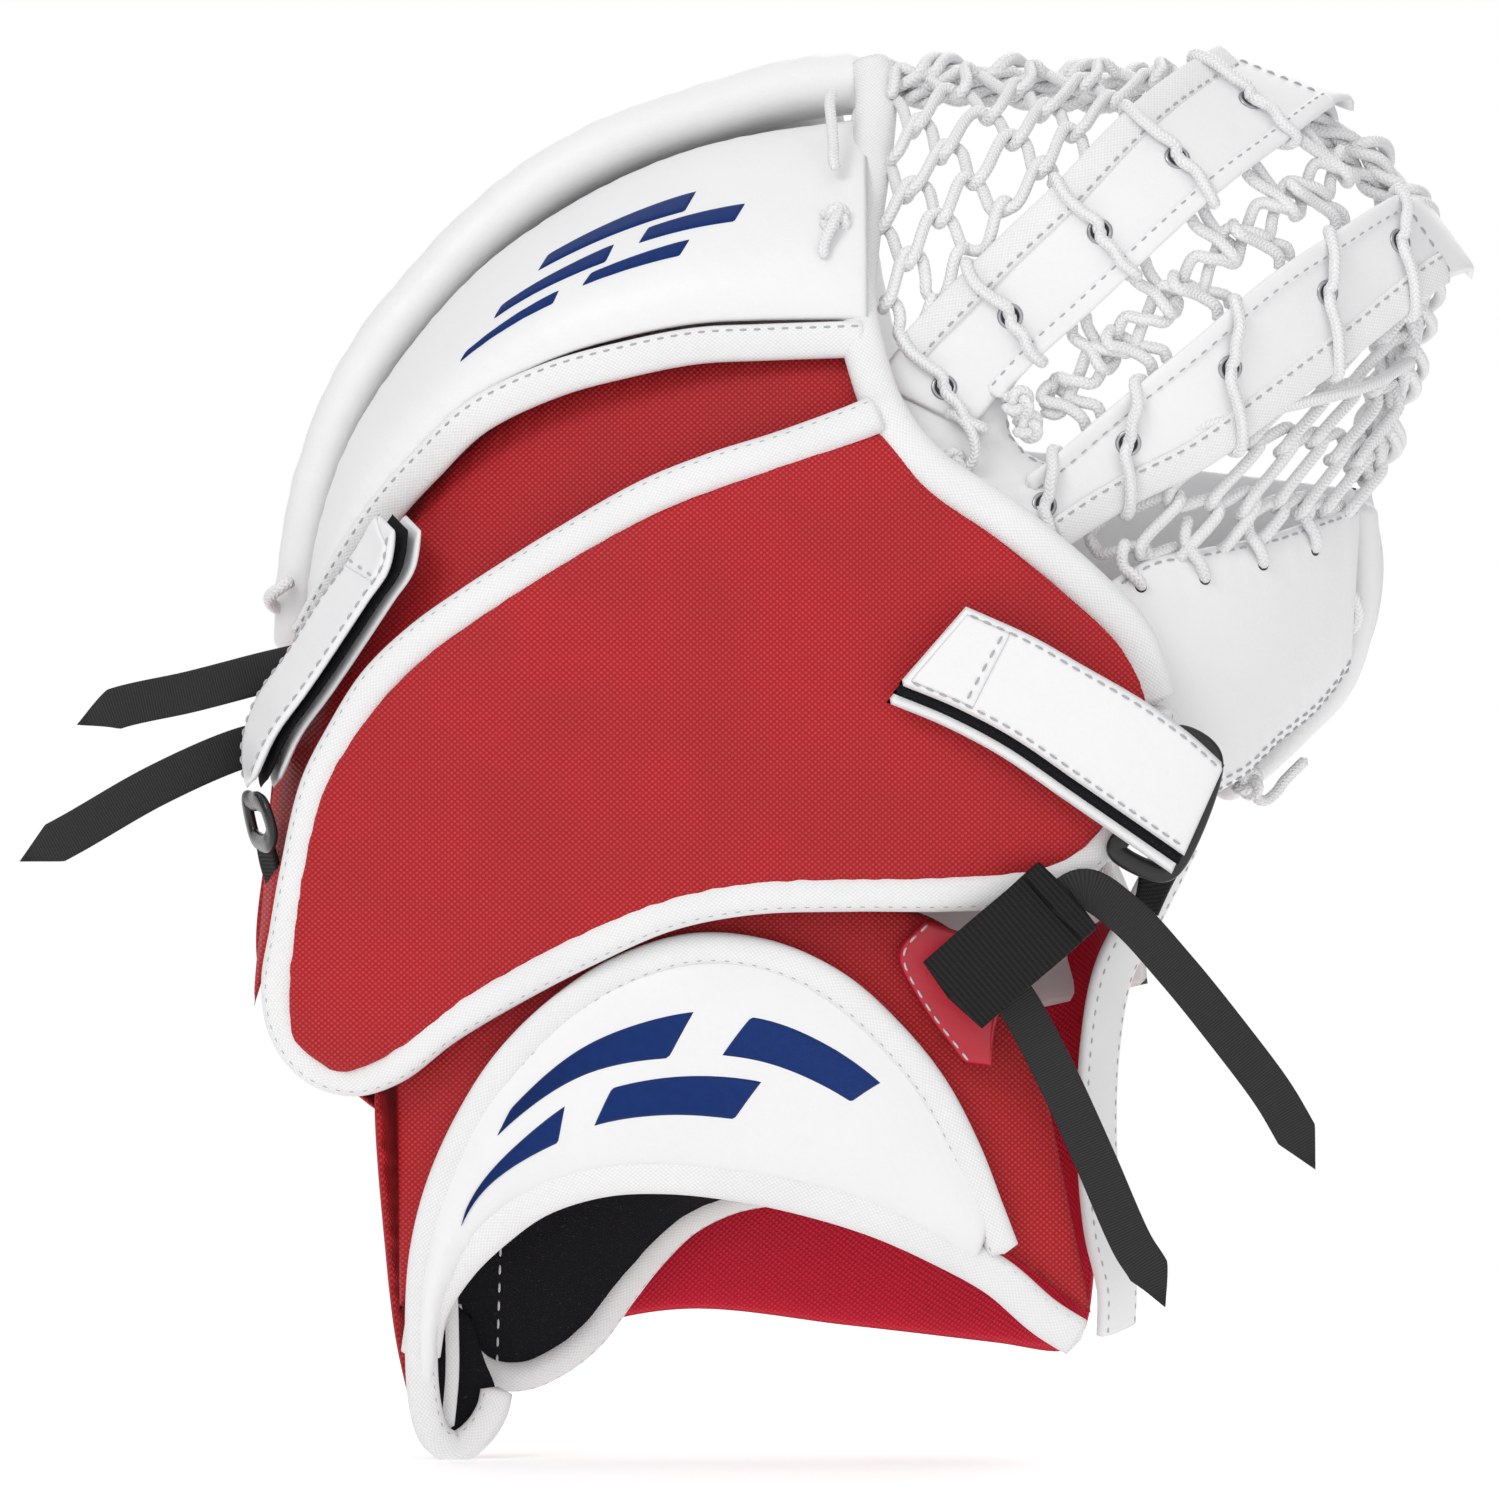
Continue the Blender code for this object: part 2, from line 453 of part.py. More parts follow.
def closing_straps(glove):
    finger_in = unit(np.array([0.80, 0.60, 0.0]))
    sides = {
        "finger": (FINGER_FLAP_OUTER, FINGER_FLAP_INNER, finger_in, (2.0, 0.0, 0.0)),
        "thumb": (THUMB_FLAP_UPPER, THUMB_FLAP_LOWER, -TOWARDS_WEARER, (-2.0, 0.0, -3.0)),
    }
    for side, (outer, inner, inwards, peek) in sides.items():
        layers = (
            ("strap_flap", "white_leather", 0.0), ("strap_lining", "black_knit", 2.7),
            ("strap_base", "white_leather", 5.2),
        )
        for step, (layer, finish, depth) in enumerate(layers):
            move = inwards * depth + np.array(peek) * step * 0.9
            rails = [np.asarray(rail, float) + move for rail in (outer, inner)]
            glove.panel(f"{side}_{layer}", finish, *rails, STRAP_THICKNESS if step != 1 else 1.4, 12, 3)
    ring = [
        (-151, 9, -15), (-149, 3, -15), (-147, -8, -15), (-145, -14, -17), (-143, -14, -24), (-144, -10, -27),
        (-147, 3, -27), (-149, 9, -25),
    ]
    glove.tube("finger_ring", "black_plastic", ring, RING_RADIUS, 28, closed=True)
    tab = [
        [(-148, 2, -31), (-145, -8, -31)], [(-147, 2, -40), (-144, -6, -40)],
        [(-146, 4, -50), (-143, -4, -50)],
    ]
    glove.sheet("finger_ring_tab", "black_webbing", tab, STRAP_THICKNESS)
    ring = [
        (111, -38.6, -25), (109, -38.6, -29), (112, -38.6, -32), (123, -38.6, -36),
        (127, -38.6, -33), (138, -38.6, -4),
        (136, -38.6, 1), (128, -38.6, 5), (124, -38.6, 3),
    ]
    glove.tube("thumb_ring", "black_plastic", ring, RING_RADIUS, 30, closed=True)
    tab = [
        [(116, -31, -37), (128, -31, -36)], [(115, -27, -43), (125, -27, -42)],
        [(113, -22, -50), (122, -22, -49)],
    ]
    glove.sheet("thumb_ring_tab", "black_webbing", tab, STRAP_THICKNESS)


def pocket(glove):
    glove.panel("upper_pocket_strap", "white_leather", UPPER_STRAP_LEFT, UPPER_STRAP_RIGHT, LEATHER, 14, 3)
    glove.panel("lower_pocket_strap", "white_leather", LOWER_STRAP_TOP, LOWER_STRAP_FOOT, LEATHER, 14, 3)
    glove.panel("web_root", "white_leather", WEB_ROOT_STRIP, WEB_ROOT_INNER, NYLON, 12, 4)
    glove.panel("web_wall", "white_leather", WEB_WALL_TOP, WEB_WALL_FOOT, NYLON, 12, 6)
    glove.panel("finger_net", "white_lace", FINGER_NET_STRIP, FINGER_NET_STRAP, LEATHER, 12, 7, crown=5.0)
    glove.panel("middle_net", "white_lace", MIDDLE_NET_TOP, MIDDLE_NET_FOOT, LEATHER, 14, 4)
    glove.panel("thumb_net", "white_lace", THUMB_NET_STRAP, THUMB_NET_FOOT, LEATHER, 12, 5, crown=1.0)
    rim = smooth(RIM, 61)
    half = np.array([0.0, 9.0, 0.0])
    for name, first, last in zip(("finger_rim", "tip_rim", "thumb_rim"), RIM_SPLITS, RIM_SPLITS[1:]):
        part = rim[round(first * 60) : round(last * 60) + 1].copy()
        part[0] += 0.3 * (part[1] - part[0])
        part[-1] += 0.3 * (part[-2] - part[-1])
        glove.sheet(name, "white_leather", np.stack([part - half, part + half], axis=1), NYLON)


def thumb_half(glove):
    glove.panel("thumb_panel", "white_leather", THUMB_PANEL_TOP, THUMB_PANEL_FOOT, LEATHER, 14, 7, crown=4.0)
    glove.tube("thumb_edge_roll", "white_leather", THUMB_ROLL, THUMB_ROLL_RADIUS, 20, resolution=2)
    glove.panel("palm_thumb_side", "white_leather", THUMB_PALM_BREAK, THUMB_PALM_RIM, BOARD, 14, 9, bend=2.0)
    top = [(112, 8, 46), (130, 12, 50), (150, 22, 54), (170, 38, 58)]
    foot = [(126, 10, 4), (142, 18, 6), (156, 30, 14), (168, 42, 26)]
    glove.panel("thumb_stiffener", "stiffener", top, foot, LEATHER, 10, 5)
    crease_a, crease_b = shifted(PALM_BREAK[4:9], x=3.5), shifted(THUMB_PALM_BREAK, x=-3.5)
    glove.panel("palm_crease", "white_leather", crease_a, crease_b, LEATHER, 14, 4, crown=3.0)
    tail = [(151, 20, -10), (154, 22, -15), (158, 24, -13), (161, 24, -9), (168, 24, -2)]
    glove.tube("thumb_lace_tail", "white_lace", tail, LACE_RADIUS, 10)


def main():
    clear_scene()
    glove = Glove()
    finger_half(glove)
    backhand(glove)
    cuff(glove)
    wrist_pad(glove)
    pull_straps(glove)
    closing_straps(glove)
    pocket(glove)
    thumb_half(glove)


main()
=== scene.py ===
# %% [markdown]
# # A goalkeeper's catching glove
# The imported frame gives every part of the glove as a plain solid, in metres: +X is the thumb side,
# +Y the catching face and +Z the fingertips. This lesson puts a finished surface over each of them.
# Every form is a grid of points worked out with numpy, and every finish is worked out with shader nodes.

# %% Load the frame
import json

import bmesh
import bpy
import numpy as np
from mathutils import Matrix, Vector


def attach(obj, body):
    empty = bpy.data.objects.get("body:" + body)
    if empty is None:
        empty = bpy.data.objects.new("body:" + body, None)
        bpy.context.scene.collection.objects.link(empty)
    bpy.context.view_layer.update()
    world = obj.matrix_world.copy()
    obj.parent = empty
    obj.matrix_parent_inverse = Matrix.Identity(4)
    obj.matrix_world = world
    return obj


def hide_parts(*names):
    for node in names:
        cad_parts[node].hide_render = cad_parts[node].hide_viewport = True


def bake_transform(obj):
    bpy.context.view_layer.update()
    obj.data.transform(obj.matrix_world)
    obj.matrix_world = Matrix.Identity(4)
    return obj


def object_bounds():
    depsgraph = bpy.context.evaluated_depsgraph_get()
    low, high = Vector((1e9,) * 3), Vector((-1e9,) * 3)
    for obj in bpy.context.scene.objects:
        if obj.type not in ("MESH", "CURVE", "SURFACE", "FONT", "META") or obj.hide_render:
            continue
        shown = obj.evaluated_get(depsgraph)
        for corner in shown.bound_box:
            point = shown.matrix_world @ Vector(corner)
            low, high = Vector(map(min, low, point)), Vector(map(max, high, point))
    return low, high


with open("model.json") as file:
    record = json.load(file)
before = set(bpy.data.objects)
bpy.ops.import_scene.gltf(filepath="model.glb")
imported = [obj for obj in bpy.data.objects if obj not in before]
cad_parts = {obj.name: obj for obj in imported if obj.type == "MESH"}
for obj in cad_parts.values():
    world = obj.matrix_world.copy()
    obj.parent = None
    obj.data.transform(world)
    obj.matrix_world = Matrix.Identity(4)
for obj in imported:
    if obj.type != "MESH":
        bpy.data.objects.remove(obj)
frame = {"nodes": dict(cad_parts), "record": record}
cad_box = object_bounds()
MM = 0.001
RECORD_SLOTS = {material["slot"] for material in frame["record"]["materials"]}

# %% [markdown]
# ## Curves
# A seam on a glove is a smooth line through a few places. A centripetal Catmull-Rom curve passes
# through every place it is given and never loops between them, so each seam below is a short list
# of points in millimetres, and the curve is then sampled at even steps of length.

# %% Smooth curves through a few points
def unit(vectors):
    """Each vector divided by its own length."""
    return vectors / np.maximum(np.linalg.norm(vectors, axis=-1, keepdims=True), 1e-12)


def lengths(points):
    """Distance along a polyline from its first point to each of its points."""
    return np.concatenate([[0], np.cumsum(np.linalg.norm(np.diff(points, axis=0), axis=1))])


def resampled(points, stations):
    """The points at the given distances along a polyline."""
    along = lengths(points)
    return np.stack([np.interp(stations, along, points[:, k]) for k in range(points.shape[1])], axis=1)


def smooth(points, count):
    """count points at equal steps along a centripetal Catmull-Rom curve.

    Knots are spaced by the square root of the distance between points, and three rounds of
    straight-line mixing between neighbouring knots give the curve between each pair.
    """
    points = np.asarray(points, float)
    ends = np.vstack([2 * points[0] - points[1], points, 2 * points[-1] - points[-2]])
    knots = np.concatenate([[0], np.cumsum(np.sqrt(np.linalg.norm(np.diff(ends, axis=0), axis=1)))])
    window = np.arange(len(points) - 1)[:, None] + np.arange(4)
    t0, t1, t2, t3 = (knots[window[:, k]][:, None, None] for k in range(4))
    p0, p1, p2, p3 = (ends[window[:, k]][:, None] for k in range(4))
    t = t1 + (t2 - t1) * np.linspace(0, 1, 24, endpoint=False)[None, :, None]
    a1 = ((t1 - t) * p0 + (t - t0) * p1) / (t1 - t0)
    a2 = ((t2 - t) * p1 + (t - t1) * p2) / (t2 - t1)
    a3 = ((t3 - t) * p2 + (t - t2) * p3) / (t3 - t2)
    b1 = ((t2 - t) * a1 + (t - t0) * a2) / (t2 - t0)
    b2 = ((t3 - t) * a2 + (t - t1) * a3) / (t3 - t1)
    dense = (((t2 - t) * b1 + (t - t1) * b2) / (t2 - t1)).reshape(-1, points.shape[1])
    dense = np.vstack([dense, points[-1:]])
    return resampled(dense, np.linspace(0, lengths(dense)[-1], count))


def trimmed(points, start, end):
    """The polyline with a length taken off each end, at the same number of points."""
    return resampled(points, np.linspace(start, lengths(points)[-1] - end, len(points)))


# %% [markdown]
# ## From arrays to meshes
# A shape is kept as a *patch*: points, the corner numbers of its faces, and a texture place for each
# corner, measured in metres so that cloth has the right thread size. Several patches can go in one
# piece, as the stitches of a seam do. Normals are recalculated once, on the closed and welded mesh.

# %% Patches
FACING_BACK = np.array([0.0, -1.0, 0.0])  # out of the back of the hand


def grid_lengths(points, axis):
    """Distance over a grid from its first row (axis 0) or its first column (axis 1) to each point."""
    first = np.take(points, [0], axis=axis)
    return np.cumsum(np.linalg.norm(np.diff(points, axis=axis, prepend=first), axis=2), axis=axis)


def grid_patch(points, close_rows=False, close_columns=False, texture=None):
    """Quads over a grid of points, with texture as (u, v) in millimetres at each corner of the grid.

    Where the grid closes on itself, texture has one more row or column than the points.
    """
    rows, columns = points.shape[:2]
    row_count, column_count = rows - (not close_rows), columns - (not close_columns)
    i, j = np.meshgrid(np.arange(row_count), np.arange(column_count), indexing="ij")
    corners = [(i, j), (i, j + 1), (i + 1, j + 1), (i + 1, j)]
    faces = np.stack([(a % rows) * columns + b % columns for a, b in corners], axis=-1).reshape(-1, 4)
    if texture is None:
        wrap = [(0, int(close_rows)), (0, int(close_columns)), (0, 0)]
        ring = np.pad(points, wrap, mode="wrap")
        along = grid_lengths(ring, 0).mean(axis=1)
        across = grid_lengths(ring, 1)
        texture = np.stack([np.broadcast_to(along[:, None], across.shape), across], axis=-1)
    places = np.stack([texture[a, b] for a, b in corners], axis=2).reshape(-1, 2)
    return points.reshape(-1, 3), faces, places


def joined(patches):
    """Several patches as one."""
    offsets = np.cumsum([0] + [len(points) for points, _, _ in patches[:-1]])
    points, _, places = (np.concatenate([patch[k] for patch in patches]) for k in range(3))
    return points, np.concatenate([patch[1] + shift for patch, shift in zip(patches, offsets)]), places


def make_piece(name, patches, finish, body, replaces=(), smoothing=0, weld=0.02):
    """A finished object from patches in millimetres, welded, with its faces turned outwards.

    It rides on its body, or is left unattached when body is None.
    """
    points, faces, places = joined(patches if isinstance(patches, list) else [patches])
    mesh = bpy.data.meshes.new(name)
    mesh.from_pydata((points * MM).tolist(), [], faces.tolist())
    mesh.uv_layers.new(name="Lengths").data.foreach_set("uv", (places * MM).astype(np.float32).ravel())
    work = bmesh.new()
    work.from_mesh(mesh)
    bmesh.ops.remove_doubles(work, verts=work.verts, dist=weld * MM)
    bmesh.ops.dissolve_degenerate(work, edges=work.edges, dist=1e-6)
    bmesh.ops.recalc_face_normals(work, faces=work.faces)
    work.to_mesh(mesh)
    work.free()
    mesh.shade_smooth()
    mesh.materials.append(FINISHES[finish])
    piece = bpy.data.objects.new(name, mesh)
    bpy.context.scene.collection.objects.link(piece)
    if smoothing:
        subdivision = piece.modifiers.new("Smooth", "SUBSURF")
        subdivision.levels = subdivision.render_levels = smoothing
    if isinstance(body, str):
        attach(piece, body)
    if replaces:
        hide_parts(*replaces)
    SLOTS.get(finish, finish) in RECORD_SLOTS
    return piece


# %% [markdown]
# ## Four ways to make a form
# Nearly everything on the glove is one of these: a *pillow* (a padded panel that is closed at its
# edge), a *band* (binding tape or webbing, a flat rounded section carried along a seam), a *tube*
# (a roll or a lace) and *stitches*.

# %% Pillows
def stretched(rail_a, rail_b, along, across, bend=1.0, crown=0.0, inset=0.0):
    """The middle sheet of a panel: straight lines drawn between two rails.

    The depth across it follows share ** bend, and the middle lifts by crown * 4 * share * (1 - share).
    inset keeps every edge that far inside the rails.
    """
    a, b = (trimmed(smooth(rail, along), inset, inset) for rail in (rail_a, rail_b))
    inwards = unit(b - a) * inset
    a, b = a + inwards, b - inwards
    share = np.linspace(0, 1, across)[None, :, None]
    points = a[:, None] + (b - a)[:, None] * share
    points[..., 1] = a[:, None, 1] + (b - a)[:, None, 1] * share[..., 0] ** bend
    return points + FACING_BACK * crown * 4 * share * (1 - share)


def normals_of(points):
    """Unit normals of a grid, from the cross product of its two directions, turned to face the back."""
    normal = unit(np.cross(np.gradient(points, axis=0), np.gradient(points, axis=1)))
    return normal * np.sign(normal[..., 1].mean() * -1 or 1)


def edge_share(count, roundness):
    """How far a pillow has risen at each station: 0 at both edges, 1 across the middle."""
    return (1 - np.abs(np.linspace(-1, 1, count)) ** roundness) ** 0.5


def pillow(points, front, back, roundness=10.0, wrinkle=None, flat_cloth=True):
    """A padded panel: the sheet pushed out by front and back along its normals, less and less to its edges.

    Cloth that was cut flat takes its texture from x and z, so that its threads stay straight.
    """
    rise = edge_share(points.shape[0], roundness * 2)[:, None] * edge_share(points.shape[1], roundness)[None]
    normal = normals_of(points)
    lift = rise if wrinkle is None else rise * (1 + wrinkle)
    outer = points + normal * (front * lift)[..., None]
    inner = points - normal * (back * rise)[..., None]
    patches = []
    for side in (outer, inner):
        texture = side[..., [0, 2]] if flat_cloth else None
        patches.append(grid_patch(side, texture=texture))
    return patches, outer


def sampled(grid, s, t):
    """Places on a grid at shares s of its rows and t of its columns, mixing its four nearest points."""
    s, t = np.broadcast_arrays(np.asarray(s, float), np.asarray(t, float))
    rows, columns = grid.shape[:2]
    r, c = np.clip(s, 0, 1) * (rows - 1), np.clip(t, 0, 1) * (columns - 1)
    i, j = np.minimum(r.astype(int), rows - 2), np.minimum(c.astype(int), columns - 2)
    fr, fc = (r - i)[..., None], (c - j)[..., None]
    top = grid[i, j] * (1 - fc) + grid[i, j + 1] * fc
    return top * (1 - fr) + (grid[i + 1, j] * (1 - fc) + grid[i + 1, j + 1] * fc) * fr


# %% [markdown]
# Binding tape, webbing, rolls and laces are all one section carried along a path. Sewing thread sits
# half in the leather, so each stitch is a short arch whose two ends go under the surface.

# %% Bands, tubes and stitches
def frames_along(path, facing=FACING_BACK):
    """Tangent, side and up at each point of a path, with up as near to facing as the path allows."""
    tangent = unit(np.gradient(path, axis=0))
    facing = np.broadcast_to(np.asarray(facing, float), path.shape)
    side = unit(np.cross(tangent, facing))
    return tangent, side, unit(np.cross(side, tangent))


def rounded_section(width, thickness, sides=20, squareness=0.55):
    """A flat oval: cos and sin of an angle, each raised to squareness and keeping its sign."""
    angle = np.linspace(0, 2 * np.pi, sides, endpoint=False)
    c, s = np.cos(angle), np.sin(angle)
    across = width / 2 * np.sign(c) * np.abs(c) ** squareness
    through = thickness / 2 * np.sign(s) * np.abs(s) ** (squareness * 1.6)
    return np.stack([across, through], axis=1)


def carried(path, section, side, up, taper):
    """A closed section carried along a path and scaled by taper at each point, its ends drawn to a point."""
    grid = path[:, None] + taper[:, None, None] * (
        side[:, None] * section[None, :, :1] + up[:, None] * section[None, :, 1:]
    )
    round_lengths = lengths(np.vstack([section, section[:1]]))
    texture = np.stack(np.broadcast_arrays(lengths(path)[:, None], round_lengths[None]), axis=-1)
    return grid_patch(grid, close_columns=True, texture=texture)


def end_taper(count, step, radius):
    """Scale along a path whose ends are rounded over radius: a quarter circle at each end."""
    from_end = np.minimum(np.arange(count), np.arange(count)[::-1]) * step
    return np.sqrt(np.clip(1 - (1 - np.minimum(from_end / radius, 1)) ** 2, 0, 1))


def band(
    route, width, thickness, step=1.6, facing=FACING_BACK, round_end=1.2, squareness=0.55, point=0.0
):
    """Tape or webbing along a route. point narrows its far end over that length."""
    rough = smooth(route, 60)
    count = max(int(lengths(rough)[-1] / step), 8)
    path = smooth(route, count)
    tangent, side, up = frames_along(path, facing)
    taper = end_taper(count, lengths(path)[-1] / (count - 1), round_end)
    section = rounded_section(width, thickness, squareness=squareness)
    if point:
        narrow = np.clip((lengths(path)[-1] - lengths(path)) / point, 0.06, 1)
        side = side * narrow[:, None]
    return carried(path, section, side, up, taper), (path, side, up)


def tube_on(path, radius, sides=10, round_end=None):
    """A round section along smooth points, turned as little as possible from each point to the next."""
    tangent = unit(np.gradient(path, axis=0))
    start = np.cross(tangent[0], [0.31, 0.87, 0.38])
    side = np.empty_like(path)
    side[0] = unit(start)
    for k in range(1, len(path)):
        side[k] = unit(side[k - 1] - tangent[k] * np.dot(side[k - 1], tangent[k]))
    up = np.cross(tangent, side)
    taper = end_taper(len(path), lengths(path)[-1] / (len(path) - 1), round_end or radius)
    angle = np.linspace(0, 2 * np.pi, sides, endpoint=False)
    section = np.stack([np.cos(angle), np.sin(angle)], axis=1) * radius
    return carried(path, section, side, up, taper)


STITCH_LENGTH, STITCH_GAP, THREAD = 3.0, 1.1, 0.36  # millimetres
STITCH_POINTS = 6  # along each stitch, and round its thread


def stitches(path, up, length=STITCH_LENGTH, gap=STITCH_GAP, radius=THREAD):
    """A row of stitches: each is a short thread, arched so that both its ends go into the leather."""
    total = lengths(path)[-1]
    count = max(int(total / (length + gap)), 1)
    starts = np.linspace(0, total - length, count)
    u = np.linspace(0, 1, STITCH_POINTS)
    stations = (starts[:, None] + u[None] * length).ravel()
    points = resampled(path, stations).reshape(count, STITCH_POINTS, 3)
    ups = unit(sample_rows(up, stations / total)).reshape(count, STITCH_POINTS, 3)
    points = points + ups * (radius * (1.3 * np.sin(np.pi * u) - 0.6))[None, :, None]
    tangent = unit(np.gradient(points, axis=1))
    side = unit(np.cross(tangent, ups))
    angle = np.linspace(0, 2 * np.pi, STITCH_POINTS, endpoint=False)[:, None]
    thick = radius * np.sqrt(np.clip(1 - (2 * u - 1) ** 6, 0.02, 1))
    ring = side[:, :, None] * np.cos(angle) + ups[:, :, None] * np.sin(angle)
    ring = ring * thick[None, :, None, None]
    return [grid_patch(points[k][:, None] + ring[k], close_columns=True) for k in range(count)]


def sample_rows(rows, shares):
    """Rows of an array at shares of its length, mixing neighbours."""
    place = np.clip(shares, 0, 1) * (len(rows) - 1)
    low = np.minimum(place.astype(int), len(rows) - 2)
    part = (place - low)[:, None]
    return rows[low] * (1 - part) + rows[low + 1] * part


def band_seam(parts, offset, height, start=2.0, end=2.0):
    """The line along a band at offset from its middle and height above it, with its up vectors."""
    path, side, up = parts
    line = path + unit(side) * offset + up * height
    total = lengths(line)[-1]
    stations = np.linspace(start, total - end, len(line))
    return resampled(line, stations), sample_rows(up, stations / total)


def surface_seam(grid, s, t, lift=0.1):
    """A line over a grid at shares s, t, lifted off it, with its up vectors."""
    normal = normals_of(grid)
    up = unit(sampled(normal, s, t))
    return sampled(grid, s, t) + up * lift, up


# %% [markdown]
# ## Camera, floor and light
# A long lens from five metres away keeps the proportions of a technical view. A white product needs
# darker surroundings at its sides, or its edges vanish, so the world is white in front, behind and
# above, and grey to the left and right. A large soft lamp high on the left gives every roll a light side.

# %% Camera and studio
LOWEST = cad_box[0][2] / MM
VIEW_HEIGHT, CAMERA_DISTANCE, SENSOR = 450.9, 5000.0, 36.0

camera = bpy.data.objects.new("camera", bpy.data.cameras.new("camera"))
camera.data.sensor_width = SENSOR
camera.data.lens = SENSOR * CAMERA_DISTANCE / VIEW_HEIGHT
camera.location = (0.0, -CAMERA_DISTANCE * MM, 0.0)
camera.rotation_euler = (np.pi / 2, 0.0, 0.0)
bpy.context.scene.collection.objects.link(camera)
bpy.context.scene.camera = camera
bpy.context.scene.view_settings.view_transform = "Standard"


def soft_lamp(name, place, size, power):
    """A square area lamp at a place in metres, pointing at the middle of the glove."""
    lamp = bpy.data.objects.new(name, bpy.data.lights.new(name, "AREA"))
    lamp.data.shape, lamp.data.size, lamp.data.energy = "SQUARE", size, power
    lamp.location = place
    towards = -np.asarray(place, float)
    tilt = np.arctan2(np.hypot(towards[0], towards[1]), -towards[2])
    turn = np.arctan2(towards[1], towards[0]) - np.pi / 2
    lamp.rotation_euler = (tilt, 0.0, turn)
    bpy.context.scene.collection.objects.link(lamp)
    return lamp


soft_lamp("key_lamp", (-1.1, -1.6, 1.5), 0.9, 14.0)
soft_lamp("fill_lamp", (1.5, -1.5, 0.3), 1.4, 3.0)
soft_lamp("back_lamp", (0.6, 1.8, 1.2), 1.2, 10.0)
print("camera lens:", round(camera.data.lens), "mm")

# %% [markdown]
# ## Shader arithmetic
# A finish is easier to read as a formula than as a picture of boxes. `Wire` holds one output of a
# node, and Python's own operators on it add Math nodes. Its `node` method adds any other node.


# %% A wire that can be added and multiplied
class Wire:
    """One output socket in a node tree."""

    def __init__(self, tree, output=None):
        self.tree, self.output = tree, output

    def node(self, kind, settings=None, inputs=None, output=0):
        """A new node of that kind: its settings first, then a value or a Wire for each named input."""
        made = self.tree.nodes.new("ShaderNode" + kind)
        for name, value in (settings or {}).items():
            setattr(made, name, value)
        for name, value in (inputs or {}).items():
            if isinstance(value, Wire):
                self.tree.links.new(value.output, made.inputs[name])
            else:
                made.inputs[name].default_value = value
        return Wire(self.tree, made.outputs[output])

    def math(self, operation, *values):
        return self.node("Math", {"operation": operation}, dict(enumerate(values)))

    def __add__(self, other):
        return self.math("ADD", self, other)

    def __sub__(self, other):
        return self.math("SUBTRACT", self, other)

    def __rsub__(self, other):
        return self.math("SUBTRACT", other, self)

    def __mul__(self, other):
        return self.math("MULTIPLY", self, other)

    def __abs__(self):
        return self.math("ABSOLUTE", self)

    __radd__, __rmul__ = __add__, __mul__

    def sin(self):
        return self.math("SINE", self)

    def fraction(self):
        return self.math("FRACT", self)

    def eased(self, low, high):
        """0 below low and 1 above high, with a smooth step between them."""
        settings = {"interpolation_type": "SMOOTHSTEP"}
        return self.node("MapRange", settings, {"Value": self, "From Min": low, "From Max": high})

    def mixed(self, colour_0, colour_1):
        """colour_0 where this is 0 and colour_1 where it is 1."""
        colours = [c if isinstance(c, Wire) else (*c, 1.0) for c in (colour_0, colour_1)]
        return self.node("Mix", {"data_type": "RGBA"}, {0: self, 6: colours[0], 7: colours[1]}, output=2)


# %% [markdown]
# ## The studio's world and floor
# The world is a formula too: white, less a grey that grows with how far a direction leans left or right.

# %% World and floor
world = bpy.data.worlds.new("studio")
bpy.context.scene.world = world
world.use_nodes = True
sky = Wire(world.node_tree)
direction = sky.node("SeparateXYZ", None, {0: sky.node("TexCoord", None, None, "Generated")}, "X")
sides = abs(direction).eased(0.25, 0.85)
SKY_WHITE, SKY_GREY = (1.0, 1.0, 1.0), (0.40, 0.40, 0.41)
background = world.node_tree.nodes["Background"]
world.node_tree.links.new(sides.mixed(SKY_WHITE, SKY_GREY).output, background.inputs["Color"])

floor_mesh = bpy.data.meshes.new("floor")
FLOOR_HALF, FLOOR_GAP = 1.6, 0.0006
floor_z = LOWEST * MM - FLOOR_GAP
FLOOR_CORNERS = ((-1, -1), (1, -1), (1, 1), (-1, 1))
floor_points = [(x * FLOOR_HALF, y * FLOOR_HALF, floor_z) for x, y in FLOOR_CORNERS]
floor_mesh.from_pydata(floor_points, [], [(0, 1, 2, 3)])
floor = bpy.data.objects.new("floor", floor_mesh)
bpy.context.scene.collection.objects.link(floor)


# %% [markdown]
# ## Finishes
# Each finish starts from a Principled shader. What varies over the surface is its colour, its
# roughness and a bump whose height is worked out from the piece's own lengths, so a thread is as wide
# on a thumb tab as on the cuff.

# %% Ways to make a finish
class Finish(Wire):
    """A material whose Principled shader's inputs are set by name."""

    def __init__(self, name, **constants):
        self.material = bpy.data.materials.new(name)
        self.material.use_nodes = True
        super().__init__(self.material.node_tree)
        self.shader = self.tree.nodes["Principled BSDF"]
        for key, value in constants.items():
            self.shader.inputs[key.replace("_", " ").title().replace("Ior", "IOR")].default_value = value

    def feed(self, **wires):
        for key, wire in wires.items():
            self.tree.links.new(wire.output, self.shader.inputs[key.replace("_", " ").title()])
        return self.material

    def lengths(self):
        """(along, across) in metres, from the piece's own texture map."""
        place = self.node("UVMap", {"uv_map": "Lengths"})
        return (self.node("SeparateXYZ", None, {0: place}, axis) for axis in "XY")

    def noise(self, size, detail=2.0, roughness=0.5):
        """Soft noise whose blotches are about size metres wide."""
        where = self.node("TexCoord", None, None, "Object")
        inputs = {"Vector": where, "Scale": 1 / size, "Detail": detail, "Roughness": roughness}
        return self.node("TexNoise", None, inputs)

    def bump(self, height, depth, normal=None, strength=1.0):
        inputs = {"Height": height, "Distance": depth, "Strength": strength}
        if normal:
            inputs["Normal"] = normal
        return self.node("Bump", None, inputs)


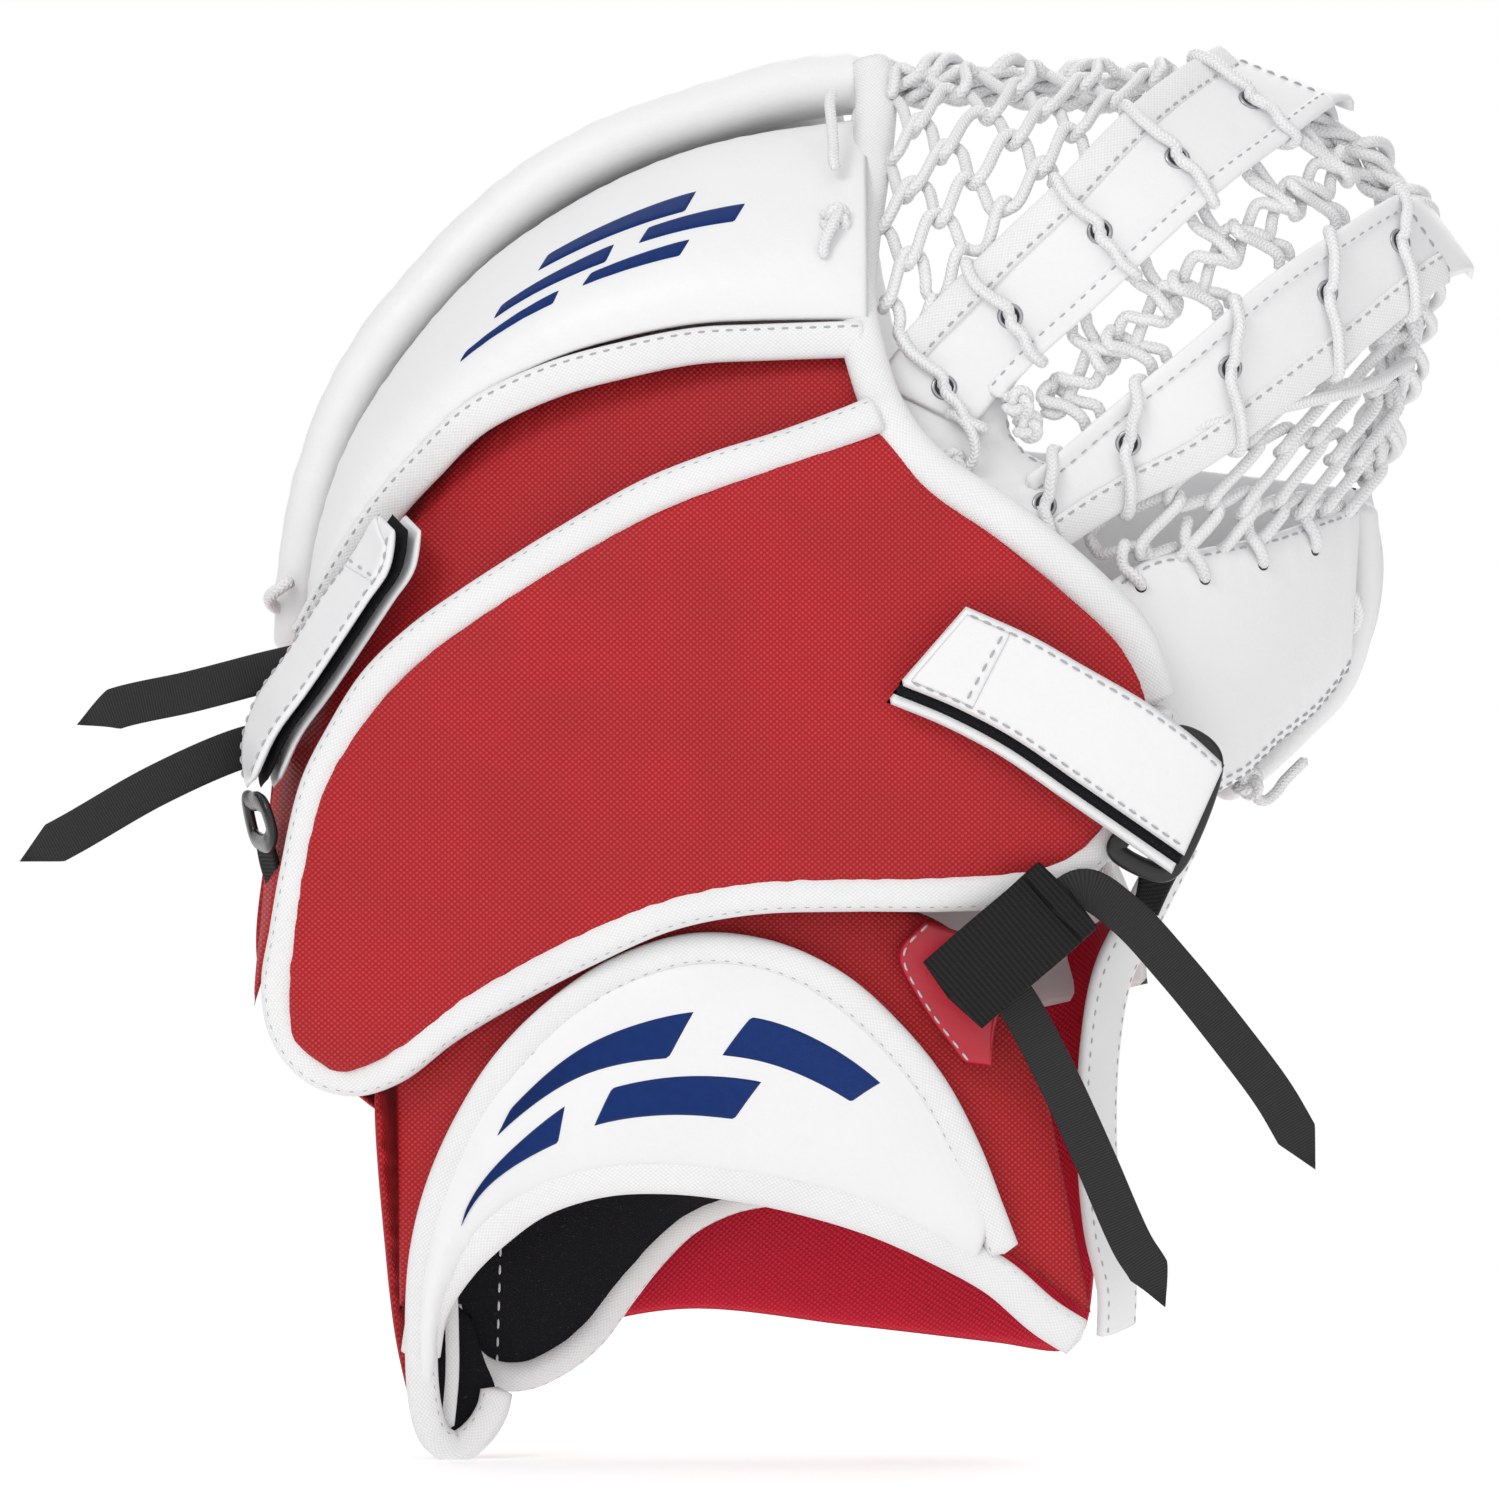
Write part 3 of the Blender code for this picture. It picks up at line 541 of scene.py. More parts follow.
def white_leather():
    """Smooth coated leather: a pebble of tiny cells, cloudy gloss, and a tone that varies in soft blotches.
    """
    finish = Finish("white_leather", specular_ior_level=0.40)
    cloud = finish.noise(0.030)
    where = finish.node("TexCoord", None, None, "Object")
    grain = finish.node("TexVoronoi", {"feature": "SMOOTH_F1"}, {"Vector": where, "Scale": 1400.0})
    creases = finish.noise(0.006, 4.0, 0.6)
    normal = finish.bump(creases, 0.00022, finish.bump(grain, 0.00006))
    return finish.feed(
        base_color=cloud.mixed((0.810, 0.812, 0.818), (0.850, 0.850, 0.854)),
        roughness=cloud * 0.12 + 0.36, normal=normal,
    )


def woven_cloth(name, dark, light, pitch, depth, roughness, cloudiness=0.10):
    """Plain-woven nylon. The product of two sine waves is a chequer of raised thread crossings.

    pitch is the width of a crossing along and across the cloth, in metres.
    """
    finish = Finish(name, specular_ior_level=0.22)
    u, v = finish.lengths()
    crossing = (u * (np.pi / pitch[0])).sin() * (v * (np.pi / pitch[1])).sin()
    raised = crossing.eased(-0.15, 0.75)
    thread = crossing.eased(-0.9, 0.9)
    cloud = finish.noise(0.040, 3.0).eased(0.30, 0.70)
    faded = cloud.mixed((1 - cloudiness,) * 3, (1.0,) * 3)
    # The crossings are coloured light and the hollows between them dark: painted light and shade on the
    # weave.
    weave_light_and_shade = raised.mixed(dark, light)
    multiply = {"data_type": "RGBA", "blend_type": "MULTIPLY"}
    return finish.feed(
        base_color=finish.node("Mix", multiply, {0: 1.0, 6: weave_light_and_shade, 7: faded}, output=2),
        roughness=cloud * 0.10 + roughness - raised * 0.06, normal=finish.bump(thread, depth),
    )


def ribbed_webbing(name, colour, rib, depth, roughness):
    """Webbing with ribs straight across it, each rib broken into threads by a finer wave along it."""
    finish = Finish(name, specular_ior_level=0.20)
    u, v = finish.lengths()
    ribs = (u * (2 * np.pi / rib)).sin() * 0.5 + 0.5
    threads = ((v + u * 0.35) * (2 * np.pi / (rib * 0.45))).sin() * 0.5 + 0.5
    height = ribs * 0.65 + threads * 0.35
    # The ribs' crowns are coloured lighter and their hollows darker: painted light and shade.
    return finish.feed(
        base_color=height.mixed(tuple(0.45 * k for k in colour), tuple(1.35 * k for k in colour)),
        roughness=height * -0.15 + roughness, normal=finish.bump(height, depth),
    )


def braided_lace():
    """A waxed braid: chevrons around the cord, from a ramp along it plus a zigzag around it."""
    finish = Finish("white_lace", specular_ior_level=0.5)
    u, v = finish.lengths()
    zigzag = abs((v * (4 / (2 * np.pi * LACE_RADIUS * MM))).fraction() - 0.5)
    strand = ((u * (1 / 0.00135) + zigzag * 1.5) * (2 * np.pi)).sin() * 0.5 + 0.5
    seam = zigzag.eased(0.0, 0.12)
    height = strand * 0.7 + seam * 0.3
    cloud = finish.noise(0.010)
    # The strands' crowns are coloured lighter, and the hollows between them and the seams darker: painted
    # light and shade.
    return finish.feed(
        base_color=height.mixed((0.730, 0.732, 0.738), (0.890, 0.890, 0.894)),
        roughness=cloud * 0.15 + 0.42, normal=finish.bump(height, 0.00028),
    )


def sewing_thread(name, light):
    """Twisted thread: a sine wave over a slanted sum of the two lengths, darker in its grooves."""
    finish = Finish(name)
    u, v = finish.lengths()
    twist = ((u + v * 0.8) * (2 * np.pi / 0.0006)).sin() * 0.5 + 0.5
    # painted shade: the grooves of the twist are coloured darker than its crowns
    thread = twist.mixed(tuple(0.82 * k for k in light), light)
    return finish.feed(base_color=thread, roughness=twist * 0.1 + 0.5, normal=finish.bump(twist, 0.00008))


def satin_thread():
    """Embroidery in blue rayon: fine parallel threads across each shape, glossier on their crowns."""
    finish = Finish("blue_thread", specular_ior_level=0.25)
    u, v = finish.lengths()
    wobble = finish.noise(0.004, 2.0)
    thread = ((u + wobble * 0.0004) * (2 * np.pi / 0.00042)).sin() * 0.5 + 0.5
    cloud = finish.noise(0.0025, 3.0)
    # The crowns of the threads are coloured lighter and the gaps between them darker, painted light and
    # shade, over a cloudy tone that varies at random.
    return finish.feed(
        base_color=(thread * 0.7 + cloud * 0.4).mixed((0.0010, 0.014, 0.095), (0.0040, 0.046, 0.260)),
        roughness=thread * -0.15 + 0.55, normal=finish.bump(thread, 0.00016),
    )


def knit():
    """Brushed knit lining: black loops with a few paler fibres standing out."""
    finish = Finish("black_knit", specular_ior_level=0.12)
    u, v = finish.lengths()
    loops = (u * (2 * np.pi / 0.0013)).sin() * (v * (2 * np.pi / 0.0009)).sin() * 0.5 + 0.5
    fuzz = finish.noise(0.0007, 4.0, 0.7)
    pale = fuzz.eased(0.60, 0.74)
    return finish.feed(
        base_color=pale.mixed((0.010, 0.010, 0.012), (0.075, 0.075, 0.082)),
        roughness=fuzz * 0.1 + 0.82, normal=finish.bump(loops * 0.5 + fuzz, 0.0003),
    )


def moulded(name, colour, roughness, grain=0.0009, depth=0.00003, metallic=0.0):
    """Moulded plastic or coated vinyl: one colour, a little cloudy, with a fine grain."""
    finish = Finish(name, metallic=metallic, specular_ior_level=0.5)
    cloud = finish.noise(0.015, 3.0)
    return finish.feed(
        base_color=cloud.mixed(tuple(0.85 * k for k in colour), tuple(1.12 * k for k in colour)),
        roughness=cloud * 0.12 + roughness - 0.06, normal=finish.bump(finish.noise(grain), depth),
    )


def pale_floor():
    finish = Finish("pale_floor", roughness=0.6, emission_strength=0.35)
    cloud = finish.noise(0.4)
    finish.shader.inputs["Emission Color"].default_value = (1.0, 1.0, 1.0, 1.0)
    return finish.feed(base_color=cloud.mixed((0.80, 0.80, 0.80), (0.82, 0.82, 0.82)))


# %% [markdown]
# Each finish is made once. The reds are two batches of one nylon: a dull red outside and a brighter
# one on the cuff board. The names are the frame's material slots, or their own where it has none.

# %% The glove's finishes
LACE_RADIUS = 1.85  # millimetres
THREADS = (0.00095, 0.00085)  # width of a thread crossing along and across the red cloth, in metres
FINISHES = {
    "white_leather": white_leather(),
    "white_nylon": woven_cloth(
        "white_nylon", (0.800,) * 3, (0.895,) * 3, (0.00075, 0.00060), 0.00010, 0.55, 0.04
    ),
    "red_nylon": woven_cloth(
        "red_nylon", (0.375, 0.0125, 0.0175), (0.600, 0.0400, 0.0450), THREADS, 0.00018, 0.55
    ),
    "bright_red_nylon": woven_cloth(
        "bright_red_nylon", (0.560, 0.0060, 0.0260), (0.760, 0.0200, 0.0600), THREADS, 0.00018, 0.52
    ),
    "red_vinyl": moulded("red_vinyl", (0.50, 0.012, 0.030), 0.30),
    "black_knit": knit(),
    "black_webbing": ribbed_webbing("black_webbing", (0.013, 0.013, 0.014), 0.0016, 0.0004, 0.72),
    "black_strap": ribbed_webbing("black_strap", (0.026, 0.026, 0.027), 0.0008, 0.00009, 0.55),
    "black_plastic": moulded("black_plastic", (0.011, 0.011, 0.012), 0.26),
    "white_lace": braided_lace(),
    "stiffener": moulded("stiffener", (0.10, 0.10, 0.11), 0.55),
    "white_thread": sewing_thread("white_thread", (0.70, 0.70, 0.71)),
    "grey_thread": sewing_thread("grey_thread", (0.50, 0.50, 0.52)),
    "blue_thread": satin_thread(),
    "eyelet_metal": moulded("eyelet_metal", (0.42, 0.42, 0.44), 0.30, metallic=1.0),
    # painted shade: a near-black finish for discs that close holes, standing in for the shadow inside them
    "dark_hole": moulded("dark_hole", (0.035, 0.035, 0.038), 0.80),
}
SLOTS = {"white_thread": "white_lace", "grey_thread": "white_lace", "dark_hole": "stiffener"}
floor_mesh.materials.append(pale_floor())
print(len(FINISHES), "finishes")

# %% [markdown]
# ## Sewn panels
# A panel of leather or nylon over thin foam is a pillow between two seams. Sewing gathers the cloth a
# little, so short puckers run in from every stitched edge and fade out within about a centimetre.


# %% A panel between two rails
def puckers(points, depth, pitch=9.0, reach=9.0, seed=1):
    """Small ridges square to the long edges, fading with distance from the nearer edge.

    Three sine waves of slightly different length along the edge are added, so that no two puckers match.
    """
    draw = np.random.default_rng(seed)
    along, across = grid_lengths(points, 0), grid_lengths(points, 1)
    near = np.minimum(across, across[:, -1:] - across)
    side = np.where(across < across[:, -1:] / 2, 0.0, 2.1)
    waves = sum(
        np.sin(2 * np.pi * along / (pitch * stretch) + phase + side)
        for stretch, phase in zip((1.0, 1.37, 0.71), draw.uniform(0, 6.28, 3))
    )
    return depth * waves / 3 * np.exp(-near / reach)


LEATHER, NYLON, BOARD = 4.0, 3.0, 5.0  # thickness in millimetres


def panel(
    name, node, rails, finish, body, thick=LEATHER, along=90, across=44, bend=1.0, crown=0.0, inset=0.0,
    gather=0.10, seed=1, flat_cloth=True, roundness=10.0,
):
    """A sewn panel, in place of a CAD node. Returns the piece and the grid of its outer face."""
    middle = stretched(*rails, along, across, bend, crown, inset)
    gathers = puckers(middle, gather, seed=seed)
    patches, outer = pillow(middle, thick / 2, thick / 2, roundness, gathers, flat_cloth)
    piece = make_piece(name, patches, finish, body, [node] if node else [])
    return piece, outer


def seam(name, lines, body, thread="white_thread", **sizes):
    """Rows of stitches along (line, up) pairs, as one piece."""
    patches = []
    for line, up in lines:
        patches += stitches(line, up, **sizes)
    return make_piece(name, patches, thread, body, weld=0.001)


def edge_line(outer, side, inside, lift=0.12, first=0.02, last=0.98):
    """A line on a panel's outer face, a constant distance inside one long edge: side 0 or 1."""
    rows = outer if side == 0 else outer[:, ::-1]
    from_edge = grid_lengths(rows, 1)
    share = np.stack([np.interp(inside, run, np.linspace(0, 1, len(run))) for run in from_edge])
    s = np.linspace(0, 1, len(rows))
    keep = (s >= first) & (s <= last)
    t = share if side == 0 else 1 - share
    return surface_seam(outer, s[keep], t[keep], lift)


def cross_line(outer, share, lift=0.12, first=0.06, last=0.94, count=40):
    """A line across a panel's outer face at one share of its length."""
    t = np.linspace(first, last, count)
    return surface_seam(outer, np.full(count, share), t, lift)


def tape(name, node, route, width, thick, finish, body, stitch_at=None, thread="grey_thread", **shape):
    """Binding tape or webbing in place of a CAD node, with a row of stitches at each offset given."""
    patch, parts = band(route, width, thick, **shape)
    piece = make_piece(name, patch, finish, body, [node] if node else [])
    if stitch_at:
        lines = [band_seam(parts, offset, thick / 2 * level) for offset, level in stitch_at]
        seam(name + "_stitches", lines, body, thread)
    return piece, parts


# %% [markdown]
# ## Finger half
# The backs of the fingers are covered by one white panel. Its outer edge is sewn into a fat roll that
# stops a puck, its lower edge is bound with tape, and a red nylon gusset closes the gap to the hand.

# %% Finger half
FINGER_ROLL = [
    (-135, 50, 28), (-134, 49, 52), (-130, 48, 77), (-123, 47, 99), (-112, 46, 120), (-97, 46, 139),
    (-79, 46, 158), (-58, 46, 174), (-36, 47, 185), (-12, 48, 193), (12, 49, 200), (37, 48, 203),
]
FINGER_PANEL_TOP = [
    (-134, 34, 42), (-129, 33, 70), (-120, 33, 95), (-101, 33, 124), (-80, 33, 147), (-58, 33, 163),
    (-38, 34, 174), (-18, 34, 182), (2, 35, 187), (36, 37, 192),
]
FINGER_PANEL_FOOT = [
    (-128, 18, 49), (-116, 7, 67), (-104, -2, 83), (-93, -9, 95), (-78, -15, 107), (-58, -21, 117),
    (-38, -25, 123), (-16, -28, 127), (4, -30, 128), (36, -31, 128),
]
FINGER_BINDING = [
    (-134, 21, 33), (-122, 8, 54), (-109, 0, 73), (-97, -7, 86), (-82, -15, 100), (-59, -21, 111),
    (-37, -25, 117), (-16, -28, 121), (4, -30, 122), (35, -32, 123),
]
GUSSET_TOP = [
    (-142, 38, 12), (-126, 28, 46), (-108, 15, 68), (-88, 2, 89), (-62, -7, 107), (-30, -14, 116),
    (0, -20, 121), (38, -26, 121),
]
GUSSET_FOOT = [
    (-149, 8, -77), (-141, -4, -44), (-126, -9, -4), (-98, -16, 22), (-66, -22, 42), (-30, -27, 60),
    (4, -30, 74), (44, -33, 84),
]
ROLL_RADIUS = 9.5
ROLL_SIDES, ROLL_STEPS = 36, 240

_, finger_face = panel(
    "finger_panel_leather", "finger_panel", (FINGER_PANEL_FOOT, FINGER_PANEL_TOP), "white_leather",
    "hand_side", bend=2.1, crown=2.0, inset=0.8, gather=0.16, seed=3, along=150, across=60,
)
panel(
    "finger_gusset_nylon", "finger_gusset", (GUSSET_TOP, GUSSET_FOOT), "red_nylon", "hand_side", NYLON,
    along=120, across=40, gather=0.5, seed=5, crown=2.0,
)
tape(
    "finger_panel_tape", "finger_panel_binding", FINGER_BINDING, 11.0, 4.4, "white_nylon", "hand_side",
    stitch_at=[(-3.9, 0.75)],
)
roll_path = smooth(FINGER_ROLL, ROLL_STEPS)
draw = np.random.default_rng(11)
roll = tube_on(roll_path, ROLL_RADIUS, sides=ROLL_SIDES, round_end=6.0)
ripple_at = lengths(roll_path)
ripple = 0.10 * sum(
    np.sin(2 * np.pi * ripple_at / pitch + draw.uniform(0, 6.28)) for pitch in (17.0, 11.3, 29.0)
)
around = np.linspace(0, 2 * np.pi, ROLL_SIDES, endpoint=False)
roll_points = roll[0].reshape(ROLL_STEPS, ROLL_SIDES, 3)
ripple_height = ripple[:, None] * (0.6 + 0.4 * np.cos(around))
roll_points += (roll_points - roll_path[:, None]) / ROLL_RADIUS * ripple_height[..., None]
finger_roll = make_piece(
    "finger_roll_leather", (roll_points.reshape(-1, 3), *roll[1:]), "white_leather", "hand_side",
    ["finger_edge_roll"],
)
print("finger panel, roll and gusset made")

# %% [markdown]
# ## The pocket's edge and its side wall
# A wide strip of leather folds over the edge between hand and pocket, from the fingertips to the heel
# of the thumb. It hides where the backhand, the finger panel and the pocket are sewn together.

# %% Pocket edge
POCKET_EDGE = [
    (36, 44, 209), (38, 36, 200), (37.5, 24, 187), (35, 6, 169), (32.5, -12, 151), (31.5, -24, 133),
    (35, -33, 116), (41, -40, 100), (54, -44, 84), (76, -45, 69), (98, -43, 51), (114, -38, 34),
    (121, -33, 14),
]
POCKET_WALL_TOP = [
    (32, 44, 196), (31, 30, 184), (30, 12, 168), (29, -4, 150), (29, -16, 132), (32, -24, 114),
    (40, -29, 98), (54, -32, 82), (76, -32, 64), (94, -30, 46),
]
POCKET_WALL_FOOT = [
    (33, 55, 192), (35, 46, 170), (40, 36, 140), (46, 30, 115), (55, 27, 94), (68, 25, 70),
    (82, 25, 40), (88, 25, 26), (91, 25, 18), (94, 25, 10),
]
tape(
    "pocket_edge_strip", "pocket_edge_binding", POCKET_EDGE, 12.6, 8.4, "white_nylon", "hand_side",
    stitch_at=[(-4.3, 0.62)], squareness=0.72,
)
panel(
    "pocket_side_leather", "pocket_side_wall", (POCKET_WALL_TOP, POCKET_WALL_FOOT), "white_leather",
    "hand_side", NYLON, flat_cloth=False,
)
print("pocket edge made")

# %% [markdown]
# ## Backhand
# A thick pad of nylon over foam lies over the back of the hand. The foam fills it between its bound
# edges, so it is fullest near them and nearly flat across its middle.

# %% Backhand pad
BACKHAND_TOP = [
    (-137, -16, -87), (-137, -18, -58), (-133, -21, -32), (-126, -24, -8), (-110, -29, 16), (-87, -34, 37),
    (-60, -38, 55), (-33, -41, 70), (-6, -42, 82), (36, -42, 96), (55, -42, 81), (77, -41, 65),
    (97, -38, 50), (111, -34, 35), (119, -31, 18),
]
BACKHAND_FOOT = [
    (-125, -14, -96), (-113, -17, -93), (-97, -22, -85), (-82, -26, -75), (-64, -31, -65), (-44, -35, -56),
    (-21, -38, -47), (5, -40, -42), (30, -40, -41), (52, -40, -41), (71, -38, -40), (87, -36, -37),
    (100, -34, -29), (110, -32, -12), (118, -31, 6),
]
BACKHAND_BINDING = [
    (39, -43, 101), (31, -44, 97.5), (9, -43, 89.5), (-10, -43, 83.5), (-29, -42, 76),
    (-54, -39, 62), (-84, -35, 43),
    (-98, -32, 33), (-111, -29, 20.5), (-121, -25, 5), (-129, -22, -11), (-135, -20, -37), (-138, -19, -54),
    (-140.5, -17, -70), (-138, -15, -84), (-130, -14, -94), (-119, -14, -97.5), (-107, -18, -94),
    (-91, -24, -82),
    (-71, -30, -70), (-50, -35, -59), (-25, -38, -48), (0, -40, -43), (30, -40, -42), (58, -40, -42),
    (76, -38, -41), (92, -35, -37), (105, -32, -26), (114, -31, -11), (121, -31, 8), (122, -30, 14),
]
panel(
    "backhand_pad_nylon", "backhand_pad", (BACKHAND_FOOT, BACKHAND_TOP), "red_nylon", "hand_side", 11.0,
    along=190, across=80, crown=3.0, gather=0.12, seed=8, roundness=7.0,
)
tape(
    "backhand_tape", "backhand_binding", BACKHAND_BINDING, 11.4, 8.6, "white_nylon", "hand_side",
    stitch_at=[(4.1, 0.62)], squareness=0.70,
)
print("backhand pad made")

# %% [markdown]
# ## Hand lining
# The hand goes into a knitted sleeve inside the shell. Each ring of the sleeve is an oval whose centre
# and half-widths are mixed between four measured rings.

# %% Hand lining
LINER_RINGS = np.array([  # height, centre x, centre y, half width, half depth
    (-76, -8, 8, 52, 19), (-30, -6, 4, 50, 18), (20, -12, 1, 44, 15), (76, -28, -1, 32, 11),
], float)
liner_z = np.linspace(LINER_RINGS[0, 0], LINER_RINGS[-1, 0], 60)
centre_x, centre_y, half_x, half_y = (
    np.interp(liner_z, LINER_RINGS[:, 0], column)[:, None] for column in LINER_RINGS.T[1:]
)
turn = np.linspace(0, 2 * np.pi, 72, endpoint=False)[None]
fold = 0.5 * np.sin(7 * turn + liner_z[:, None] / 14)
sleeve = []
for wall in (1.0, -1.0):
    x = centre_x + (half_x + wall + fold) * np.cos(turn)
    y = centre_y + (half_y + wall + fold) * np.sin(turn)
    sleeve.append(np.stack(np.broadcast_arrays(x, y, liner_z[:, None]), axis=-1))
around_wall = np.concatenate([sleeve[0], sleeve[1][::-1]])  # out, over the rim and back down inside
sleeve_patch = grid_patch(around_wall, close_rows=True, close_columns=True)
make_piece("hand_lining_knit", sleeve_patch, "black_knit", "hand_side", ["hand_liner"])
print("hand lining made")

# %% [markdown]
# ## Cuff
# A stiff board stands behind the wrist, a nylon wall closes it on the little-finger side, and a soft
# bound pad hangs from the backhand over the wrist. The wall is unpadded nylon, so it folds.

# %% Cuff
CUFF_WALL_FRONT = [(-112, -8, -101), (-111, -9, -120), (-109, -3, -145), (-106, 8, -175), (-101, 20, -200)]
CUFF_WALL_BACK = [(-101, 53, -96), (-99, 54, -122), (-97, 54, -146), (-94, 54, -172), (-90, 54, -194)]
CUFF_BOARD_TOP = [
    (-98, 54, -96), (-50, 52, -86), (0, 48, -78), (50, 44, -69), (86, 38, -58), (104, 27, -52), (112, 8, -43),
]
CUFF_BOARD_FOOT = [
    (-92, 52, -192), (-55, 52, -176), (-20, 52, -169), (30, 52, -174), (74, 48, -179), (95, 34, -181),
    (101, 12, -172),
]
CUFF_BAND = [
    (129, -8, -26), (118, -6, -48), (109, -4, -66), (105, -3, -88), (104, -2, -116), (106, 0, -142),
    (110, 3, -160), (110, 8, -175),
]
BACKING_TOP = [
    (-106, -7, -97), (-80, -17, -74), (-40, -24, -52), (8, -25, -44), (55, -24, -50), (84, -19, -80),
]
BACKING_FOOT = [
    (-105, -3, -168), (-90, -12, -140), (-58, -18, -124), (0, -21, -120), (52, -19, -134), (102, -12, -168),
]
LINER_TOP = [(-92, 12, -146), (-74, 8, -128), (-42, 6, -119), (-10, 6, -122), (12, 8, -130)]
LINER_BINDING = [
    (-92, 18, -166), (-88, 23, -179), (-80, 27, -187), (-69, 29, -188.5), (-58, 30, -184), (-48, 30, -176),
    (-38.5, 29, -163), (-29, 28, -151), (-19, 26, -141.5), (-6, 24, -135), (8, 21, -132),
]
LINER_FOOT = [(x, y + 1.0, z) for x, y, z in LINER_BINDING]
WRIST_GUSSET = [(-90, 3, -158), (-89.5, 5, -172), (-89.5, 7, -188), (-91, 9, -204)]
panel(
    "cuff_wall_nylon", "cuff_left_wall", (CUFF_WALL_FRONT, CUFF_WALL_BACK), "red_nylon", "hand_side",
    gather=0.6, seed=4, flat_cloth=False, roundness=8.0,
)
panel(
    "cuff_board_nylon", "cuff_board", (CUFF_BOARD_TOP, CUFF_BOARD_FOOT), "bright_red_nylon", "hand_side",
    BOARD, along=140, across=50, gather=0.05, flat_cloth=False, roundness=14.0,
)
BAND_FACING = unit(np.array([0.75, -0.66, 0.0]))
tape(
    "cuff_edge_leather", "cuff_edge_band", CUFF_BAND, 17.0, 4.6, "white_leather", "hand_side",
    stitch_at=[(-6.4, 0.7), (6.4, 0.7)], facing=BAND_FACING, squareness=0.5,
)
panel(
    "wrist_backing_nylon", "wrist_backing_pad", (BACKING_TOP, BACKING_FOOT), "red_nylon", "hand_side",
    gather=0.5, seed=6, along=130, across=40,
)
_, wrist_lining_face = panel(
    "wrist_lining_knit", "wrist_liner", (LINER_TOP, LINER_FOOT), "black_knit", "hand_side", NYLON, gather=0.2
)
seam("wrist_lining_stitches", [cross_line(wrist_lining_face, 0.22)], "hand_side", length=3.4, gap=2.0)
tape(
    "wrist_gusset_tape", None, WRIST_GUSSET, 4.2, 2.4, "white_nylon", "hand_side",
    facing=unit(np.array([0.25, -0.95, 0.0])), squareness=0.7,
)
tape(
    "wrist_lining_tape", "wrist_liner_binding", LINER_BINDING, 9.6, 8.0, "white_nylon", "hand_side",
    facing=unit(np.array([0.1, -0.9, -0.4])), squareness=0.8, stitch_at=[(3.4, 0.55)],
)
HOOK_RAILS = (
    [(-99, 15, -158), (-98, 15, -176), (-96, 15, -192), (-91, 16, -207)],
    [(-84, 17, -170), (-80, 17, -183), (-76.5, 17, -193), (-80, 18, -206)],
)
panel(
    "wrist_hook_pile", "wrist_hook_patch", HOOK_RAILS, "black_knit", "hand_side", 2.0, along=24, across=16,
    gather=0.0,
)
KEEPER_PATCH_A = [(52, -31, -50), (44, -31, -60), (50, -31, -74), (64, -31, -93)]
KEEPER_PATCH_B = [(80, -30, -60), (76, -30, -72), (73, -30, -83), (72, -30, -94)]
_, vinyl_face = panel(
    "keeper_vinyl", "keeper_patch", (KEEPER_PATCH_A, KEEPER_PATCH_B), "red_vinyl", "hand_side", 2.2,
    along=40, across=24, gather=0.05,
)
seam("keeper_vinyl_stitches", [edge_line(vinyl_face, 0, 2.2)], "hand_side")
print("cuff made")

# %% [markdown]
# ## Wrist pad
# The white pad over the wrist hangs from its upper edge and lifts when the hand goes in. Its binding
# runs over the top, and a wide hem turns under its lower edge.

# %% Wrist pad
WRIST_PAD_TOP = [
    (-97, 0, -192), (-97, -8, -168), (-94, -15, -146), (-86, -21, -117), (-71, -28, -92), (-50, -31, -73),
    (-20, -32, -63), (5, -32, -64), (27, -32, -75), (46, -31, -93), (60, -29, -114), (72, -26, -139),
]
WRIST_PAD_FOOT = [
    (-97, -2, -190), (-94, -9, -166), (-86, -15, -150), (-76, -21, -138), (-61, -25, -130), (-44, -29, -125),
    (-26, -31, -124), (-6, -32, -126), (14, -32, -129), (35, -30, -135), (52, -28, -143), (68, -25, -152),
]
WRIST_BINDING = [
    (-76, 14, -191), (-77.5, 13, -198), (-82, 11, -205), (-88.5, 8, -209), (-94.5, 4, -205.5),
    (-97.5, 0, -196),
    (-98.5, -7, -172), (-97, -13, -150), (-92, -19, -130),
    (-83, -24, -110), (-72, -29, -93), (-57, -31, -78), (-39, -32, -66), (-17, -32, -59), (5, -32, -61),
    (25, -33, -70), (41, -33, -84), (54, -32, -100), (64, -30, -119), (71, -27, -137), (76, -24, -150),
]
WRIST_HEM = [
    (-99, -2, -182), (-96, -8, -167), (-88, -13, -154), (-77, -19, -143), (-63, -24, -133),
    (-44, -28, -127), (-25, -30, -126),
    (-5, -31, -128), (15, -31, -132), (38, -29, -139), (58, -26, -148), (74, -22, -157), (88, -19, -169),
    (99, -17, -176),
]
_, wrist_face = panel(
    "wrist_pad_leather", "wrist_pad", (WRIST_PAD_FOOT, WRIST_PAD_TOP), "white_leather", "wrist_flap", 5.0,
    along=150, across=50, crown=2.5, gather=0.10, seed=9, roundness=8.0,
)
tape(
    "wrist_pad_tape", "wrist_pad_binding", WRIST_BINDING, 9.8, 5.8, "white_nylon", "wrist_flap",
    stitch_at=[(3.4, 0.6)], squareness=0.7,
)
tape(
    "wrist_hem_tape", "wrist_pad_hem", WRIST_HEM, 12.0, 5.6, "white_nylon", "wrist_flap",
    stitch_at=[(-4.2, 0.6)], squareness=0.65,
)
print("wrist pad made")

# %% [markdown]
# ## Pull straps and their keeper
# Four thin straps hang out of the shell so that the fit can be pulled tight, and a loop of coarse
# webbing holds two of them down over a vinyl patch.

